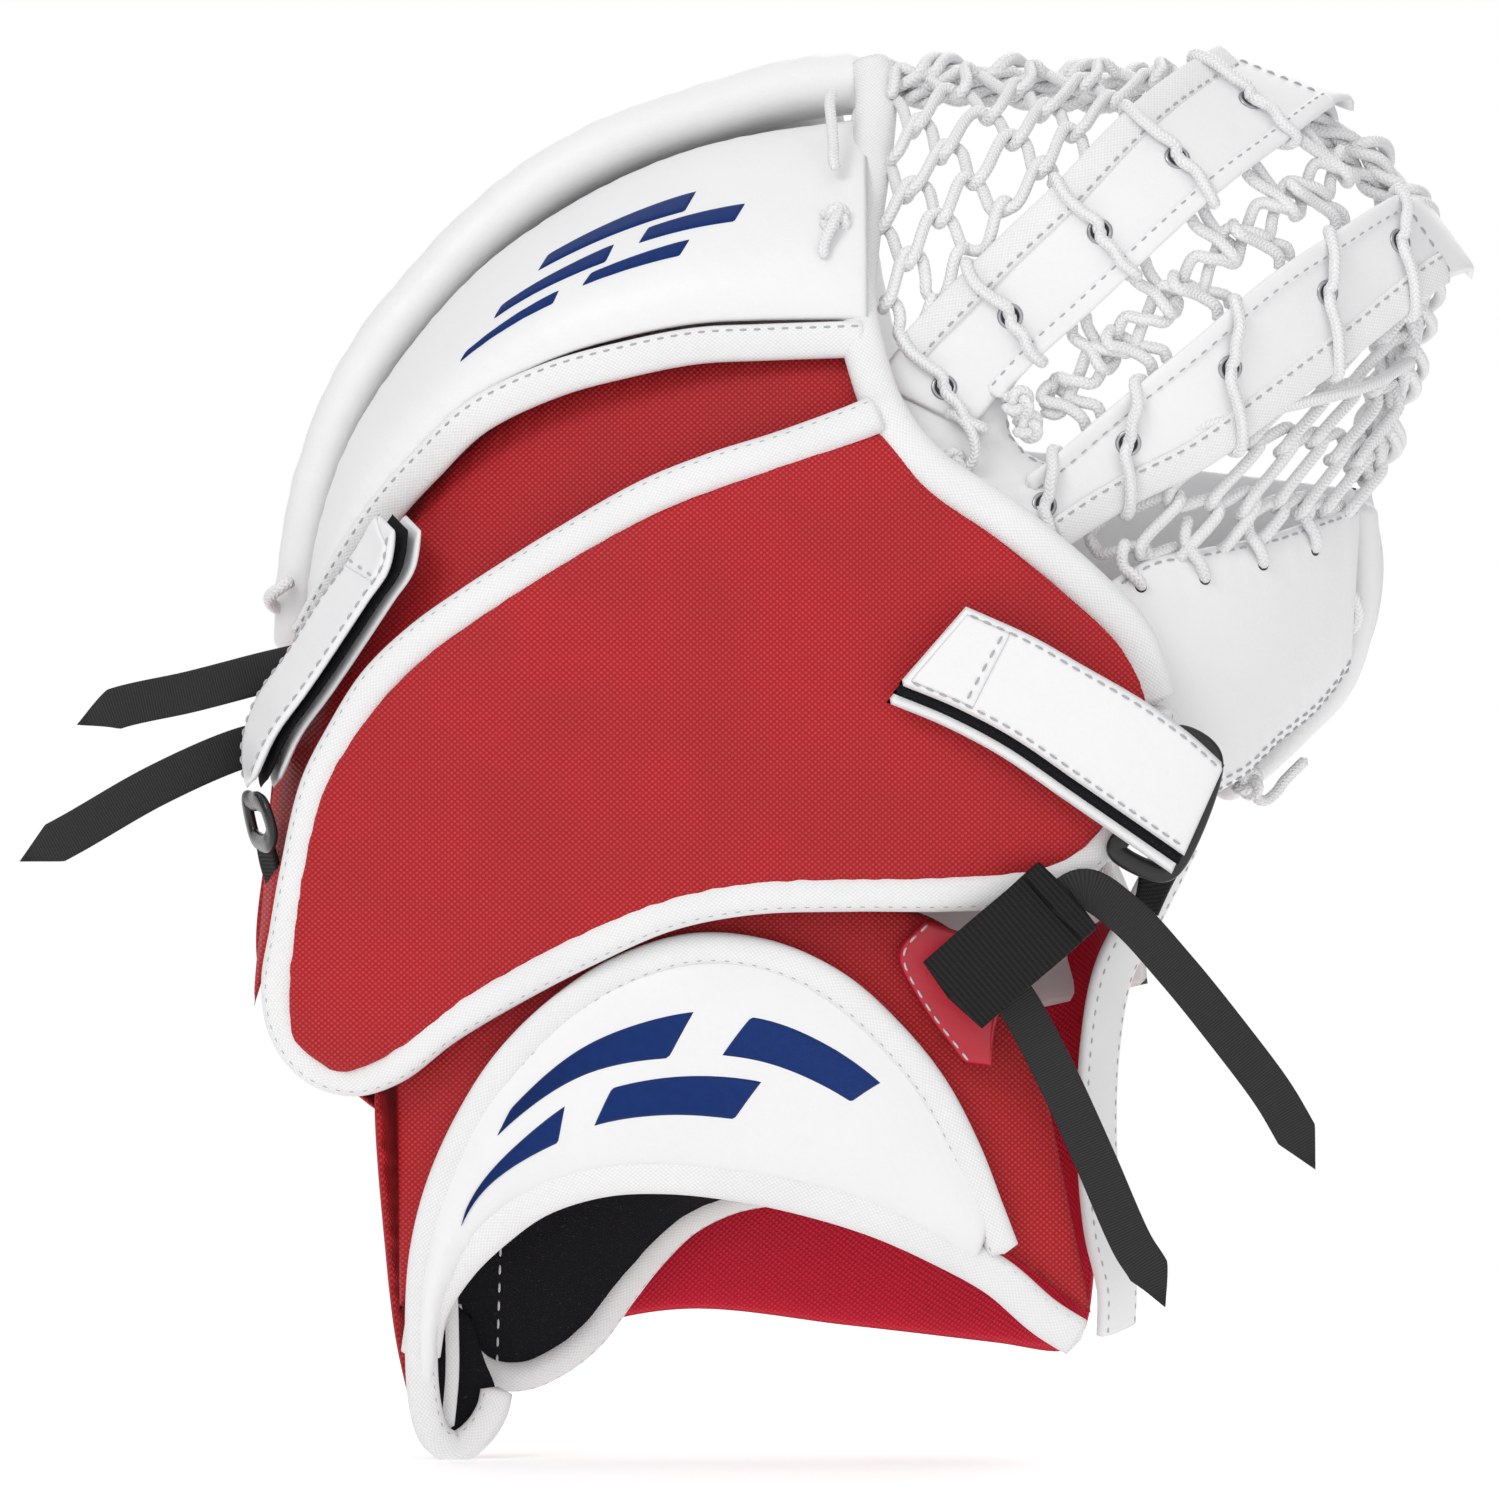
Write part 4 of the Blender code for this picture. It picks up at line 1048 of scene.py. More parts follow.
# %% Pull straps
PULL_STRAPS = {
    "pull_strap_1": [(-127, 11, 28), (-145, 14, 24), (-168, 9, 18), (-190, 2, 13), (-202, 0, 8)],
    "pull_strap_2": [(-139, 18, 4), (-153, 16, 1), (-178, 7, -10), (-204, -1, -25), (-219, -4, -33)],
    "pull_strap_3": [
        (88, -43, -49), (99, -43, -41), (111, -40, -48), (127, -32, -65), (144, -26, -86), (156, -22, -102),
        (162, -20, -112), (169, -19, -125),
    ],
    "pull_strap_4": [
        (72, -40, -64), (81, -38, -77), (92, -35, -98), (103, -31, -122), (114, -28, -147), (119, -27, -155),
        (124, -26, -166),
    ],
}
for name, route in PULL_STRAPS.items():
    tape(
        name + "_band", name, route, 12.5, 1.6, "black_strap", "hand_side", point=12.0, squareness=0.28,
        round_end=0.3, step=1.2,
    )
KEEPER = [(95, -46.5, -42), (85, -49.5, -51), (72, -49.5, -62), (59, -47, -73.5)]
_, (path, side, up) = tape(
    "keeper_webbing", "web_keeper", KEEPER, 26.5, 2.6, "black_webbing", "hand_side", squareness=0.22,
    round_end=0.8,
)
fold_route = path[:6] + up[:6] * 1.9
tape("keeper_fold", None, fold_route, 26.0, 1.7, "black_webbing", "hand_side", squareness=0.22, round_end=0.6)
print("straps made")

# %% [markdown]
# ## Closing straps
# Each closing strap is three layers: a leather flap on top, a hook-and-loop lining under it, and a
# leather base that stays sewn to the glove. The strap doubles back through a plastic ring.

# %% Closing straps
FINGER_FLAP_OUTER = [
    (-151, 8, -11), (-152, 8, 3), (-148, 6, 16), (-139, 2, 29), (-129, -3, 45), (-118, -9, 60),
    (-111, -13, 71),
]
FINGER_FLAP_INNER = [
    (-149, -12, -9), (-142, -15, 5), (-133, -19, 17), (-122, -23, 33), (-114, -26, 45), (-108, -28, 54),
    (-106, -29, 66),
]
THUMB_FLAP_UPPER = [
    (64, -60, 43), (84, -60, 34), (98, -59, 26), (117, -57, 15), (131, -53, 5), (141, -48, -4),
]
THUMB_FLAP_LOWER = [
    (44, -60, 20), (61, -60, 13), (78, -60, 4), (97, -58, -9), (113, -54, -20), (129, -48, -31),
]
STRAPS = {
    "finger": (FINGER_FLAP_OUTER, FINGER_FLAP_INNER, unit(np.array([0.80, 0.60, 0.0])), (2.0, 0.0, 0.0)),
    "thumb": (THUMB_FLAP_UPPER, THUMB_FLAP_LOWER, -FACING_BACK, (-2.0, 0.0, -3.0)),
}
LAYERS = (
    ("strap_flap", "white_leather", 0.0, 2.6), ("strap_lining", "black_knit", 2.7, 1.6),
    ("strap_base", "white_leather", 5.2, 2.0),
)
strap_faces = {}
for side_name, (outer_rail, inner_rail, inwards, peek) in STRAPS.items():
    for step, (layer, finish, depth, thick) in enumerate(LAYERS):
        move = inwards * depth + np.array(peek) * step * 0.9
        rails = [np.asarray(rail, float) + move for rail in (outer_rail, inner_rail)]
        body = f"{side_name}_strap" if step == 0 else "hand_side"
        _, face = panel(
            f"{side_name}_{layer}_piece", f"{side_name}_{layer}", rails, finish, body, thick,
            along=70, across=20, gather=0.03, roundness=12.0, flat_cloth=False,
        )
        if step == 0:
            strap_faces[side_name] = face
            lines = [edge_line(face, 0, 2.4), edge_line(face, 1, 2.4)]
            seam(f"{side_name}_strap_stitches", lines, body, "grey_thread")
TIP_TABS = {"thumb": (0.02, 0.20, 0.06, 0.94, 0.03), "finger": (0.80, 0.97, 0.08, 0.92, -0.03)}
for side_name, (near, far, low, high, lean) in TIP_TABS.items():
    face = strap_faces[side_name]
    s, t = np.meshgrid(np.linspace(0, 1, 30), np.linspace(low, high, 24), indexing="ij")
    s = near + (far - near + lean * (2 * t - 1)) * s
    up = unit(sampled(normals_of(face), s, t))
    rise = edge_share(30, 16.0)[:, None] * edge_share(24, 12.0)[None]
    base = sampled(face, s, t)
    tab_patches = [
        grid_patch(base + up * (1.1 * rise - 0.1)[..., None]), grid_patch(base - up * 0.1)
    ]
    make_piece(f"{side_name}_strap_tip_tab", tab_patches, "white_leather", f"{side_name}_strap")
    top = base + up * 1.0
    seam(
        f"{side_name}_strap_tab_stitches",
        [surface_seam(top, np.full(30, 0.86 if side_name == "thumb" else 0.14), np.linspace(0.08, 0.92, 30))],
        f"{side_name}_strap", "grey_thread",
    )
FINGER_RING = [
    (-151, 9, -15), (-149, 3, -15), (-147, -8, -15), (-145, -14, -17), (-143, -14, -24), (-144, -10, -27),
    (-147, 3, -27), (-149, 9, -25),
]
THUMB_RING = [
    (111, -38.6, -25), (109, -38.6, -29), (112, -38.6, -32), (123, -38.6, -36), (127, -38.6, -33),
    (138, -38.6, -4),
    (136, -38.6, 1), (128, -38.6, 5), (124, -38.6, 3),
]
for name, corners in (("finger_ring", FINGER_RING), ("thumb_ring", THUMB_RING)):
    corners = np.array(corners, float)
    closed = smooth(np.vstack([corners[-3:], corners, corners[:3]]), 400)
    gap = np.linalg.norm(closed - corners[0], axis=1)
    start = int(np.argmin(gap[:200]))
    end = 200 + int(np.argmin(gap[200:]))
    loop = closed[start:end]
    tangent = unit(np.roll(loop, -1, axis=0) - np.roll(loop, 1, axis=0))
    flat = unit(np.cross(loop[0] - loop.mean(axis=0), loop[len(loop) // 3] - loop.mean(axis=0)))
    side = unit(np.cross(tangent, flat))
    section = rounded_section(6.0, 3.0, 16, 0.6)
    grid = loop[:, None] + side[:, None] * section[None, :, :1] + flat * section[None, :, 1:]
    ring_patch = grid_patch(grid, close_rows=True, close_columns=True)
    make_piece(name + "_moulding", ring_patch, "black_plastic", name + "_body", [name])
TABS = {
    "finger_ring_tab": (
        [(-148, 4, -27), (-147, 9, -34), (-145, 15, -41)],
        [(-143, -8, -27), (-141, 1, -35), (-139, 9, -42)],
    ),
    "thumb_ring_tab": (
        [(116, -31, -37), (115, -27, -43), (113, -22, -50)],
        [(128, -31, -36), (125, -27, -42), (122, -22, -49)],
    ),
}
for name, rails in TABS.items():
    panel(
        name + "_webbing", name, rails, "black_webbing", "hand_side", 2.0, along=24, across=14, gather=0,
        flat_cloth=False,
    )
print("closing straps made")

# %% [markdown]
# ## Thumb half and palm
# The thumb is covered by one crowned panel with a thin roll sewn round its edge. Behind both halves
# lies the palm, a stiff leather board that bends at the break between them.

# %% Thumb half
THUMB_PANEL_TOP = [(108, -20, 51), (120, -14, 58), (136, -7, 61), (155, 5, 65), (170, 19, 70), (184, 36, 75)]
THUMB_PANEL_FOOT = [
    (118, -14, -6), (132, -12, -14), (146, -1, -9), (158, 12, 2), (170, 26, 12), (181, 38, 26),
]
THUMB_ROLL = [
    (184, 48, 76), (185, 48, 54), (183, 48, 38), (177, 48, 21), (165, 45, 8), (153, 39, -3), (141, 27, -11),
]
THUMB_PALM_BREAK = [(74, 33, 92), (88, 32, 70), (102, 31, 40), (114, 31, 10), (126, 32, -20)]
THUMB_PALM_RIM = [(184, 62, 80), (188, 62, 56), (184, 62, 34), (172, 61, 15), (150, 58, -8)]
PALM_BREAK = [
    (28, 64, 196), (32, 54, 170), (38, 44, 140), (45, 38, 115), (54, 35, 94), (67, 33, 70),
    (81, 33, 40), (93, 33, 10), (105, 33, -20), (118, 34, -52), (120, 30, -70),
]
PALM_RIM = [
    (14, 64, 200), (-32, 64, 184), (-72, 64, 160), (-106, 64, 124), (-127, 64, 80), (-132, 64, 40),
    (-131, 62, 0), (-128, 60, -40), (-117, 56, -78), (-102, 50, -101), (-82, 46, -116),
]
_, thumb_face = panel(
    "thumb_panel_leather", "thumb_panel", (THUMB_PANEL_TOP, THUMB_PANEL_FOOT), "white_leather", "thumb_side",
    4.6, along=120, across=70, crown=4.0, gather=0.14, seed=12,
)
thumb_tube = tube_on(smooth(THUMB_ROLL, 160), 6.0, sides=28, round_end=5.0)
thumb_roll = make_piece("thumb_roll_leather", thumb_tube, "white_leather", "thumb_side", ["thumb_edge_roll"])
thumb_lines = [edge_line(thumb_face, 0, 3.0)]
thumb_lines += [edge_line(thumb_face, 1, inside, first=0.25) for inside in (2.0, 4.6)]
seam("thumb_panel_stitches", thumb_lines, "thumb_side", "grey_thread")
panel(
    "palm_leather", "palm_finger_side", (PALM_BREAK, PALM_RIM), "white_leather", "hand_side", BOARD,
    along=160, across=90, bend=2.0, gather=0.12, seed=14, roundness=16.0,
)
panel(
    "palm_thumb_leather", "palm_thumb_side", (THUMB_PALM_BREAK, THUMB_PALM_RIM), "white_leather",
    "thumb_side", BOARD, along=120, across=70, bend=2.0, gather=0.12, seed=15, roundness=16.0,
)
crease_rails = [
    np.array(PALM_BREAK[4:9], float) + (-3.0, -3.5, 0), np.array(THUMB_PALM_BREAK, float) + (3.0, -3.5, 0),
]
crease, _ = panel(
    "palm_crease_leather", "palm_crease", crease_rails, "white_leather", None, along=90, across=24, crown=3.0,
    gather=0.3, seed=16,
)
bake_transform(crease)
print("thumb half and palm made")

# %% [markdown]
# The little-finger side is closed by a nylon wall between the gusset and the palm, and tape binds the
# raw edges of the palm. Their rails share the edges of the pieces that they join.

# %% Little-finger side and palm binding
SIDE_WALL_BACK = [
    (-137, 33, 36), (-141, 33, 14), (-145, 22, -25), (-147, 10, -68), (-128, 4, -93), (-111, 2, -108),
]
SIDE_WALL_PALM = [
    (-129, 60, 34), (-131, 60, 10), (-128, 58, -36), (-118, 55, -76), (-108, 52, -96), (-103, 49, -112),
]
panel(
    "little_finger_side_nylon", None, (SIDE_WALL_BACK, SIDE_WALL_PALM), "red_nylon", "hand_side", NYLON,
    gather=0.5, seed=18, flat_cloth=False,
)
FACING_PALM = -FACING_BACK
PALM_TAPES = {
    "palm_rim_tape": ([(x, y + 1.5, z) for x, y, z in PALM_RIM[:-1]], 9.0, "hand_side"),
    "palm_break_tape": ([(x - 4.0, y + 0.5, z) for x, y, z in PALM_BREAK[:-1]], 6.0, "hand_side"),
    "palm_thumb_rim_tape": ([(x, y + 1.5, z) for x, y, z in THUMB_PALM_RIM], 9.0, "thumb_side"),
    "palm_thumb_break_tape": ([(x + 4.0, y + 0.5, z) for x, y, z in THUMB_PALM_BREAK], 6.0, "thumb_side"),
}
for name, (route, width, body) in PALM_TAPES.items():
    tape(
        name, None, route, width, 6.4, "white_nylon", body, facing=FACING_PALM, squareness=0.7,
        stitch_at=[(width * 0.34, 0.66), (-width * 0.34, 0.66)],
    )
print("side wall and palm binding made")

# %% [markdown]
# ## Pocket straps
# Two leather straps carry the pocket from its root to the rim, and fold over the rim at their tips.
# Each is leather with a wide woven edge on one side and a narrow one on the other.

# %% Pocket straps
UPPER_STRAP_LEFT = [
    (36, -26, 110), (50, -21, 127), (75, -22, 152), (92, -22, 168), (106, -16, 183),
    (120, -4, 196), (138, 18, 208), (147, 36, 211),
    (150, 50, 208),
]
UPPER_STRAP_RIGHT = [
    (66, -28, 96), (85, -22, 118), (104, -26, 135), (122, -26, 152), (141, -17, 169),
    (157, -3, 181), (174, 20, 194), (182, 37, 197),
    (183, 52, 194),
]
LOWER_STRAP_TOP = [
    (72, -30, 74), (89, -22, 85), (106, -23, 100), (129, -25, 119), (156, -15, 142),
    (171, -4, 152), (192, 18, 165), (201, 36, 168),
    (203, 52, 166),
]
LOWER_STRAP_FOOT = [
    (84, -33, 54), (97, -24, 64), (114, -19, 75), (134, -20, 85), (157, -12, 102), (178, 0, 118),
    (208, 22, 141), (218, 38, 145),
    (219, 54, 143),
]
UPPER_EYELETS = [(57, 109), (77, 130), (103, 156), (127, 178), (147, 197)]
LOWER_EYELETS = [(89, 72), (114, 90), (143, 115), (173, 137), (196, 152)]


def across_strap(face, s, t, lift):
    """Points over a strap's outer face at shares s along it and t across it, lifted by lift."""
    s, t, lift = np.broadcast_arrays(*(np.asarray(k, float) for k in (s, t, lift)))
    return sampled(face, s, t) + unit(sampled(normals_of(face), s, t)) * lift[..., None]


def nearest_share(face, x, z, t_low=0.25, t_high=0.75):
    """The shares (s, t) of the place on a strap's face that is nearest to (x, z) as seen from the back."""
    s, t = np.meshgrid(np.linspace(0, 1, 241), np.linspace(t_low, t_high, 41), indexing="ij")
    gap = np.linalg.norm(sampled(face, s, t)[..., [0, 2]] - (x, z), axis=-1)
    i, j = np.unravel_index(np.argmin(gap), gap.shape)
    return s[i, j], t[i, j]


pocket_faces = {}
for name, rails, wide_side in (
    ("upper_pocket_strap", (UPPER_STRAP_LEFT, UPPER_STRAP_RIGHT), 0),
    ("lower_pocket_strap", (LOWER_STRAP_TOP, LOWER_STRAP_FOOT), 1),
):
    _, face = panel(
        name + "_leather", name, rails, "white_leather", "pocket", 3.4, along=150, across=24, gather=0.03,
        roundness=9.0, flat_cloth=False, crown=0.8,
    )
    pocket_faces[name] = face
    widths = {wide_side: 10.0, 1 - wide_side: 6.0}
    for side_number, width in widths.items():
        edge_finish = "white_nylon" if side_number == wide_side else "white_leather"
        middle, _ = edge_line(face, side_number, width / 2 - 0.6, lift=0.25, first=0.06, last=0.86)
        tape(
            f"{name}_edge_{side_number + 1}", None, middle[::3], width, 2.6, edge_finish, "pocket",
            facing=sampled(normals_of(face), 0.5, 0.5),
            stitch_at=[((width / 2 - 1.3) * (1 if side_number == 0 else -1), 0.72)], squareness=0.6,
        )
    seam(f"{name}_tip_stitches", [cross_line(face, 0.845)], "pocket", "grey_thread")
WEB_ROOT_STRIP = [(36, -24, 112), (43, -28, 98), (56, -32, 84), (74, -33, 70), (90, -33, 58)]
WEB_ROOT_INNER = [(83, -20, 117), (77, -19, 105), (77, -18, 97), (81, -18, 90), (90, -19, 85)]
WEB_WALL_TOP = [(58, -8, 114), (60, -12, 104), (68, -14, 94), (78, -14, 84), (88, -14, 72), (94, -12, 60)]
WEB_WALL_FOOT = [(54, 27, 118), (58, 26, 106), (64, 24, 94), (72, 23, 80), (80, 22, 66), (88, 22, 50)]
_, root_face = panel(
    "web_root_leather", "web_root", (WEB_ROOT_STRIP, WEB_ROOT_INNER), "white_leather", "pocket", NYLON,
    along=80, across=40, gather=0.35, seed=21, inset=-0.5,
)
panel(
    "web_wall_leather", "web_wall", (WEB_WALL_TOP, WEB_WALL_FOOT), "white_leather", "pocket", NYLON,
    flat_cloth=False,
)
seam("web_root_stitches", [edge_line(root_face, 1, 2.2)], "pocket", "grey_thread")
print("pocket straps made")

# %% [markdown]
# ## Eyelets
# A lace that passes through leather needs a metal eyelet, or it saws through. An eyelet is a profile
# of a few points turned round the hole's axis: a rolled rim with a dark dish of painted shade inside it.


# %% Eyelets
def turned(profile, centre, axis, sides=20):
    """A profile of (radius, height) turned round an axis: cos and sin of the turn times each radius."""
    axis = unit(np.asarray(axis, float))
    side = unit(np.cross(axis, [0.2, 0.3, 0.93]))
    third = np.cross(axis, side)
    angle = np.linspace(0, 2 * np.pi, sides, endpoint=False)
    ring = side * np.cos(angle)[:, None] + third * np.sin(angle)[:, None]
    radius, height = np.asarray(profile, float).T
    grid = np.asarray(centre, float) + radius[:, None, None] * ring + height[:, None, None] * axis
    return grid_patch(grid, close_columns=True)


RIM_PROFILE = [(2.6, -0.4), (2.7, 0.25), (3.1, 0.55), (3.7, 0.45), (3.95, 0.0), (3.8, -0.4), (2.6, -0.4)]
# The dish is painted shade: a near-black disc that closes the eyelet in place of the shadow inside it.
SHADE_DISH_PROFILE = [(0.0, 0.14), (2.65, 0.16), (2.7, -0.3), (0.0, -0.4)]
eyelet_places = {}
rims, shade_dishes = [], []
for name, places in (("upper_pocket_strap", UPPER_EYELETS), ("lower_pocket_strap", LOWER_EYELETS)):
    face = pocket_faces[name]
    middle = 0.56 if name == "upper_pocket_strap" else 0.40
    eyelet_places[name] = []
    for x, z in places:
        s, _ = nearest_share(face, x, z)
        centre = across_strap(face, s, middle, 0.1)
        axis = unit(sampled(normals_of(face), s, middle))
        rims.append(turned(RIM_PROFILE, centre, axis))
        shade_dishes.append(turned(SHADE_DISH_PROFILE, centre, axis))
        eyelet_places[name].append((s, middle))
make_piece("pocket_eyelets", rims, "eyelet_metal", "pocket", weld=0.001)
make_piece("pocket_eyelet_hole_shade", shade_dishes, "dark_hole", "pocket", weld=0.001)
print(len(rims), "eyelets")

# %% [markdown]
# ## Laced nets
# The net is laced by hand: neighbouring laces hook round each other and turn back, like a chain-link
# fence. In a fence each wire is a zigzag, half a cell out of step with the next. Here lace k stays
# near its own row, swings by a cosine of the distance from where it starts, and swings a little
# *past* half-way, so that it hooks over its neighbour. To pass over on the way in and under on the
# way out, it also moves off the net's surface by a steep odd function of the same angle.


# %% A net of laces between two rails
HOOK, TUCK = 2.0, 2.5  # millimetres: the swing past half-way, and how far a lace's ends go behind


def net_routes(rail_a, rail_b, rows, wave, crown, seed, start=0.0):
    """Routes of the laces of a net: one for each row, running from rail_a to rail_b.

    share along the rails = (row + 0.5) / rows + swing * cos(angle), where angle = 2 pi distance / wave
    and neighbours are half a turn apart; height off the net = lace radius * tanh(3 sin(angle)).
    """
    surface = stretched(rail_a, rail_b, 90, 60, crown=crown)
    normal = normals_of(surface)
    widths = np.linalg.norm(np.diff(surface, axis=1), axis=2).sum(axis=1)
    run = lengths(smooth(rail_a, 60))[-1] / 2 + lengths(smooth(rail_b, 60))[-1] / 2
    draw = np.random.default_rng(seed)
    routes = []
    for row in range(rows):
        middle = (row + 0.5) / rows
        width = np.interp(middle, np.linspace(0, 1, 90), widths)
        distance = np.arange(0, width, 1.0)
        loose = sum(
            np.sin(2 * np.pi * distance / pitch + draw.uniform(0, 6.28)) for pitch in (31.0, 47.0)
        )
        angle = 2 * np.pi * (distance / wave + start) + np.pi * (row % 2) + 0.34 * loose
        swing = 0.5 / rows + HOOK / run
        s = middle + swing * (1.10 * np.cos(angle) - 0.10 * np.cos(3 * angle)) + 0.6 / run * loose
        local_width = np.interp(s, np.linspace(0, 1, 90), widths)
        t = np.clip(distance / local_width, 0, 1)
        lift = LACE_RADIUS * 0.98 * np.tanh(3.0 * np.sin(angle))
        route = sampled(surface, s, t) + unit(sampled(normal, s, t)) * lift[:, None]
        ends = np.minimum(lengths(route), lengths(route)[-1] - lengths(route))
        route[:, 1] += TUCK * np.exp(-((ends / 4.0) ** 2))
        routes.append(route)
    return routes


def laced(name, routes, body, replaces=(), radius=LACE_RADIUS, sides=10):
    """Many laces as one piece, each resampled to even steps and smoothed."""
    patches = []
    for route in routes:
        total = lengths(route)[-1]
        if total < 3 * radius:
            continue
        rough = resampled(route, np.linspace(0, total, max(int(total / 2.2), 6)))
        patches.append(tube_on(smooth(rough, max(int(total / 1.1), 8)), radius, sides))
    return make_piece(name, patches, "white_lace", body, replaces, weld=0.001)


FINGER_NET_STRIP = [
    (38, 38, 205), (42, 28, 197), (41, 14, 182), (39, -2, 163), (38, -14, 145), (40, -22, 127),
    (42, -24, 121),
]
FINGER_NET_STRAP = [
    (146, 32, 207), (132, 20, 203), (114, -2, 191), (100, -12, 177), (84, -17, 163),
    (68, -17, 147), (52, -15, 130),
    (48, -14, 124),
]
MIDDLE_NET_TOP = [
    (86, -17, 114), (104, -22, 131), (124, -22, 149), (143, -13, 165), (160, 1, 178), (176, 18, 189),
]
MIDDLE_NET_FOOT = [
    (88, -14, 90), (104, -20, 103), (127, -21, 122), (154, -11, 145), (169, 1, 156), (186, 18, 166),
]
THUMB_NET_STRAP = [
    (100, -11, 66), (117, -14, 78), (136, -14, 89), (158, -6, 105), (178, 8, 121), (203, 32, 140),
]
THUMB_NET_FOOT = [(110, -17, 50), (124, -13, 57), (140, -6, 61), (156, 4, 64), (172, 20, 69), (187, 38, 74)]

finger_routes = net_routes(FINGER_NET_STRIP, FINGER_NET_STRAP, 8, 20.0, crown=5.0, seed=2)
finger_net = laced("finger_net_laces", finger_routes, None, ["finger_net"])
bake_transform(finger_net)
thumb_routes = net_routes(THUMB_NET_STRAP, THUMB_NET_FOOT, 9, 18.5, crown=2.0, seed=3, start=0.1)
thumb_net = laced("thumb_net_laces", thumb_routes, None, ["thumb_net"])
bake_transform(thumb_net)
print(len(finger_routes), "laces in the finger net and", len(thumb_routes), "in the thumb net")

# %% [markdown]
# Between the two straps there is only a narrow gap. A twisted pair of laces runs up its middle, and
# laces from each strap's edge loop round it. The pair is a double helix whose radius opens and closes
# along it, which leaves the small eyes that a hand-tied chain has. The loops lean up the chain from
# the upper strap and down it from the lower one, so that a pull on the pocket tightens them.

# %% The chain between the straps
CHAIN_ROWS, LOOPS_A_SIDE, TWIST_LENGTH = 200, 5, 28.0
middle_sheet = stretched(MIDDLE_NET_TOP, MIDDLE_NET_FOOT, CHAIN_ROWS, 9)
middle_normal = normals_of(middle_sheet)
chain = middle_sheet[:, 4]
chain_side = unit(middle_sheet[:, 8] - middle_sheet[:, 0])
chain_angle = 2 * np.pi * lengths(chain)[:, None] / TWIST_LENGTH
open_by = 3.0 + 2.2 * np.sin(chain_angle) ** 2
twisted = [
    chain + chain_side * open_by * np.sin(chain_angle + phase)
    + middle_normal[:, 4] * 1.9 * np.cos(chain_angle + phase)
    for phase in (0.0, np.pi)
]
hooks = []
last_row = CHAIN_ROWS - 1
for edge, sign in ((0, -1), (8, 1)):
    for place in np.linspace(0.12, 0.88, LOOPS_A_SIDE):
        row = int(place * last_row)
        reach = min(max(row - 17 * sign, 0), last_row)
        side, normal = chain_side[row] * sign, middle_normal[row, 4]
        root_a, root_b = middle_sheet[row, edge], middle_sheet[min(row + 8, last_row), edge]
        tip = chain[reach] - side * 2.6
        along = unit(root_b - root_a)
        hooks.append(smooth([
            root_a + side * 4.0 - normal * 2.0, root_a + normal * 0.8, (root_a + tip) / 2 + normal * 1.6,
            tip - along * 2.2 + normal * 3.6, tip - side * 2.4, tip + along * 2.2 - normal * 3.4,
            (root_b + tip) / 2 - normal * 1.2, root_b - normal * 1.0, root_b + side * 4.0 - normal * 2.6,
        ], 44))
laced("middle_net_laces", twisted + hooks, "pocket", ["middle_net"])
print(len(hooks), "loops round the chain")

# %% [markdown]
# At each eyelet one lace comes over one edge of the strap into the hole, and the next leaves it over
# the other edge.

# %% Laces over the straps
strap_laces = []
draw = np.random.default_rng(31)
for name, places in eyelet_places.items():
    face = pocket_faces[name]
    for number, (s, t) in enumerate(places):
        jitter = draw.uniform(-0.006, 0.006, 4)
        lead = 0.040 if name == "upper_pocket_strap" else 0.045
        into = [
            (s + lead * 1.5, 0.06, -4.5), (s + lead * 1.35, -0.085, -1.5),
            (s + lead * 1.15 + jitter[0], -0.03, 2.6), (s + lead * 0.8 + jitter[1], 0.12, 3.6),
            (s + lead * 0.40, t * 0.62, 3.0), (s + 0.012, t - 0.07, 2.3), (s + 0.002, t - 0.02, 0.9),
            (s, t, -1.4),
        ]
        out = [
            (s, t - 0.01, -1.4), (s - 0.002, t + 0.02, 1.0), (s - 0.012, t + 0.07, 2.6),
            (s - lead * 0.45, t + (1 - t) * 0.45, 3.3), (s - lead * 0.85 + jitter[2], 0.90, 3.5),
            (s - lead * 1.1 + jitter[3], 1.04, 2.2), (s - lead * 1.2, 1.09, -1.5),
            (s - lead * 1.25, 0.95, -4.8),
        ]
        for corners in (into, out):
            s_share, t_share, lift = np.array(corners).T
            inside = np.clip(t_share, 0.02, 0.98)
            points = across_strap(face, np.clip(s_share, 0.01, 0.99), inside, lift)
            s_inside = np.clip(s_share, 0, 1)
            outwards = unit(sampled(face, s_inside, 1.0) - sampled(face, s_inside, 0.0))
            span = np.linalg.norm(face[:, -1] - face[:, 0], axis=1).mean()
            strap_laces.append(smooth(points + outwards * ((t_share - inside) * span)[:, None], 48))
laced("strap_laces", strap_laces, "pocket")
print(len(strap_laces), "laces over the straps")

# %% [markdown]
# ## Rim
# The rim is a rolled leather cord case that shapes the pocket's mouth. Laces are wrapped round it in
# helices of slightly different pitch, and two twisted pairs run along it.

# %% Rim and its wrapping
RIM = [
    (42, 46, 204), (66, 46, 206), (94, 46, 204), (118, 46, 203), (144, 46, 201), (167, 46, 194),
    (187, 46, 182),
    (200, 46, 167), (205, 46, 150), (202, 46, 128), (196, 46, 106), (191, 46, 90), (189, 46, 80),
]
RIM_SPLITS = (0.0, 0.30, 0.72, 1.0)
RIM_PLACES = {"finger_rim": None, "tip_rim": "pocket", "thumb_rim": None}
RIM_BLENDS = {
    "finger_rim": ("hand_side", "pocket", (0.050, 0.0, 0.2), (0.096, 0.0, 0.2)),
    "thumb_rim": ("pocket", "thumb_side", (0.203, 0.0, 0.140), (0.191, 0.0, 0.090)),
}
rim_line = smooth(RIM, 361)
rim_tangent = unit(np.gradient(rim_line, axis=0))
rim_out = unit(np.cross(rim_tangent, [0, 1.0, 0]))
rim_out *= np.sign(((rim_line - rim_line.mean(axis=0)) * rim_out).sum(axis=1, keepdims=True))
rim_deep = np.array([0.0, 1.0, 0.0])
rim_along = lengths(rim_line)[:, None]
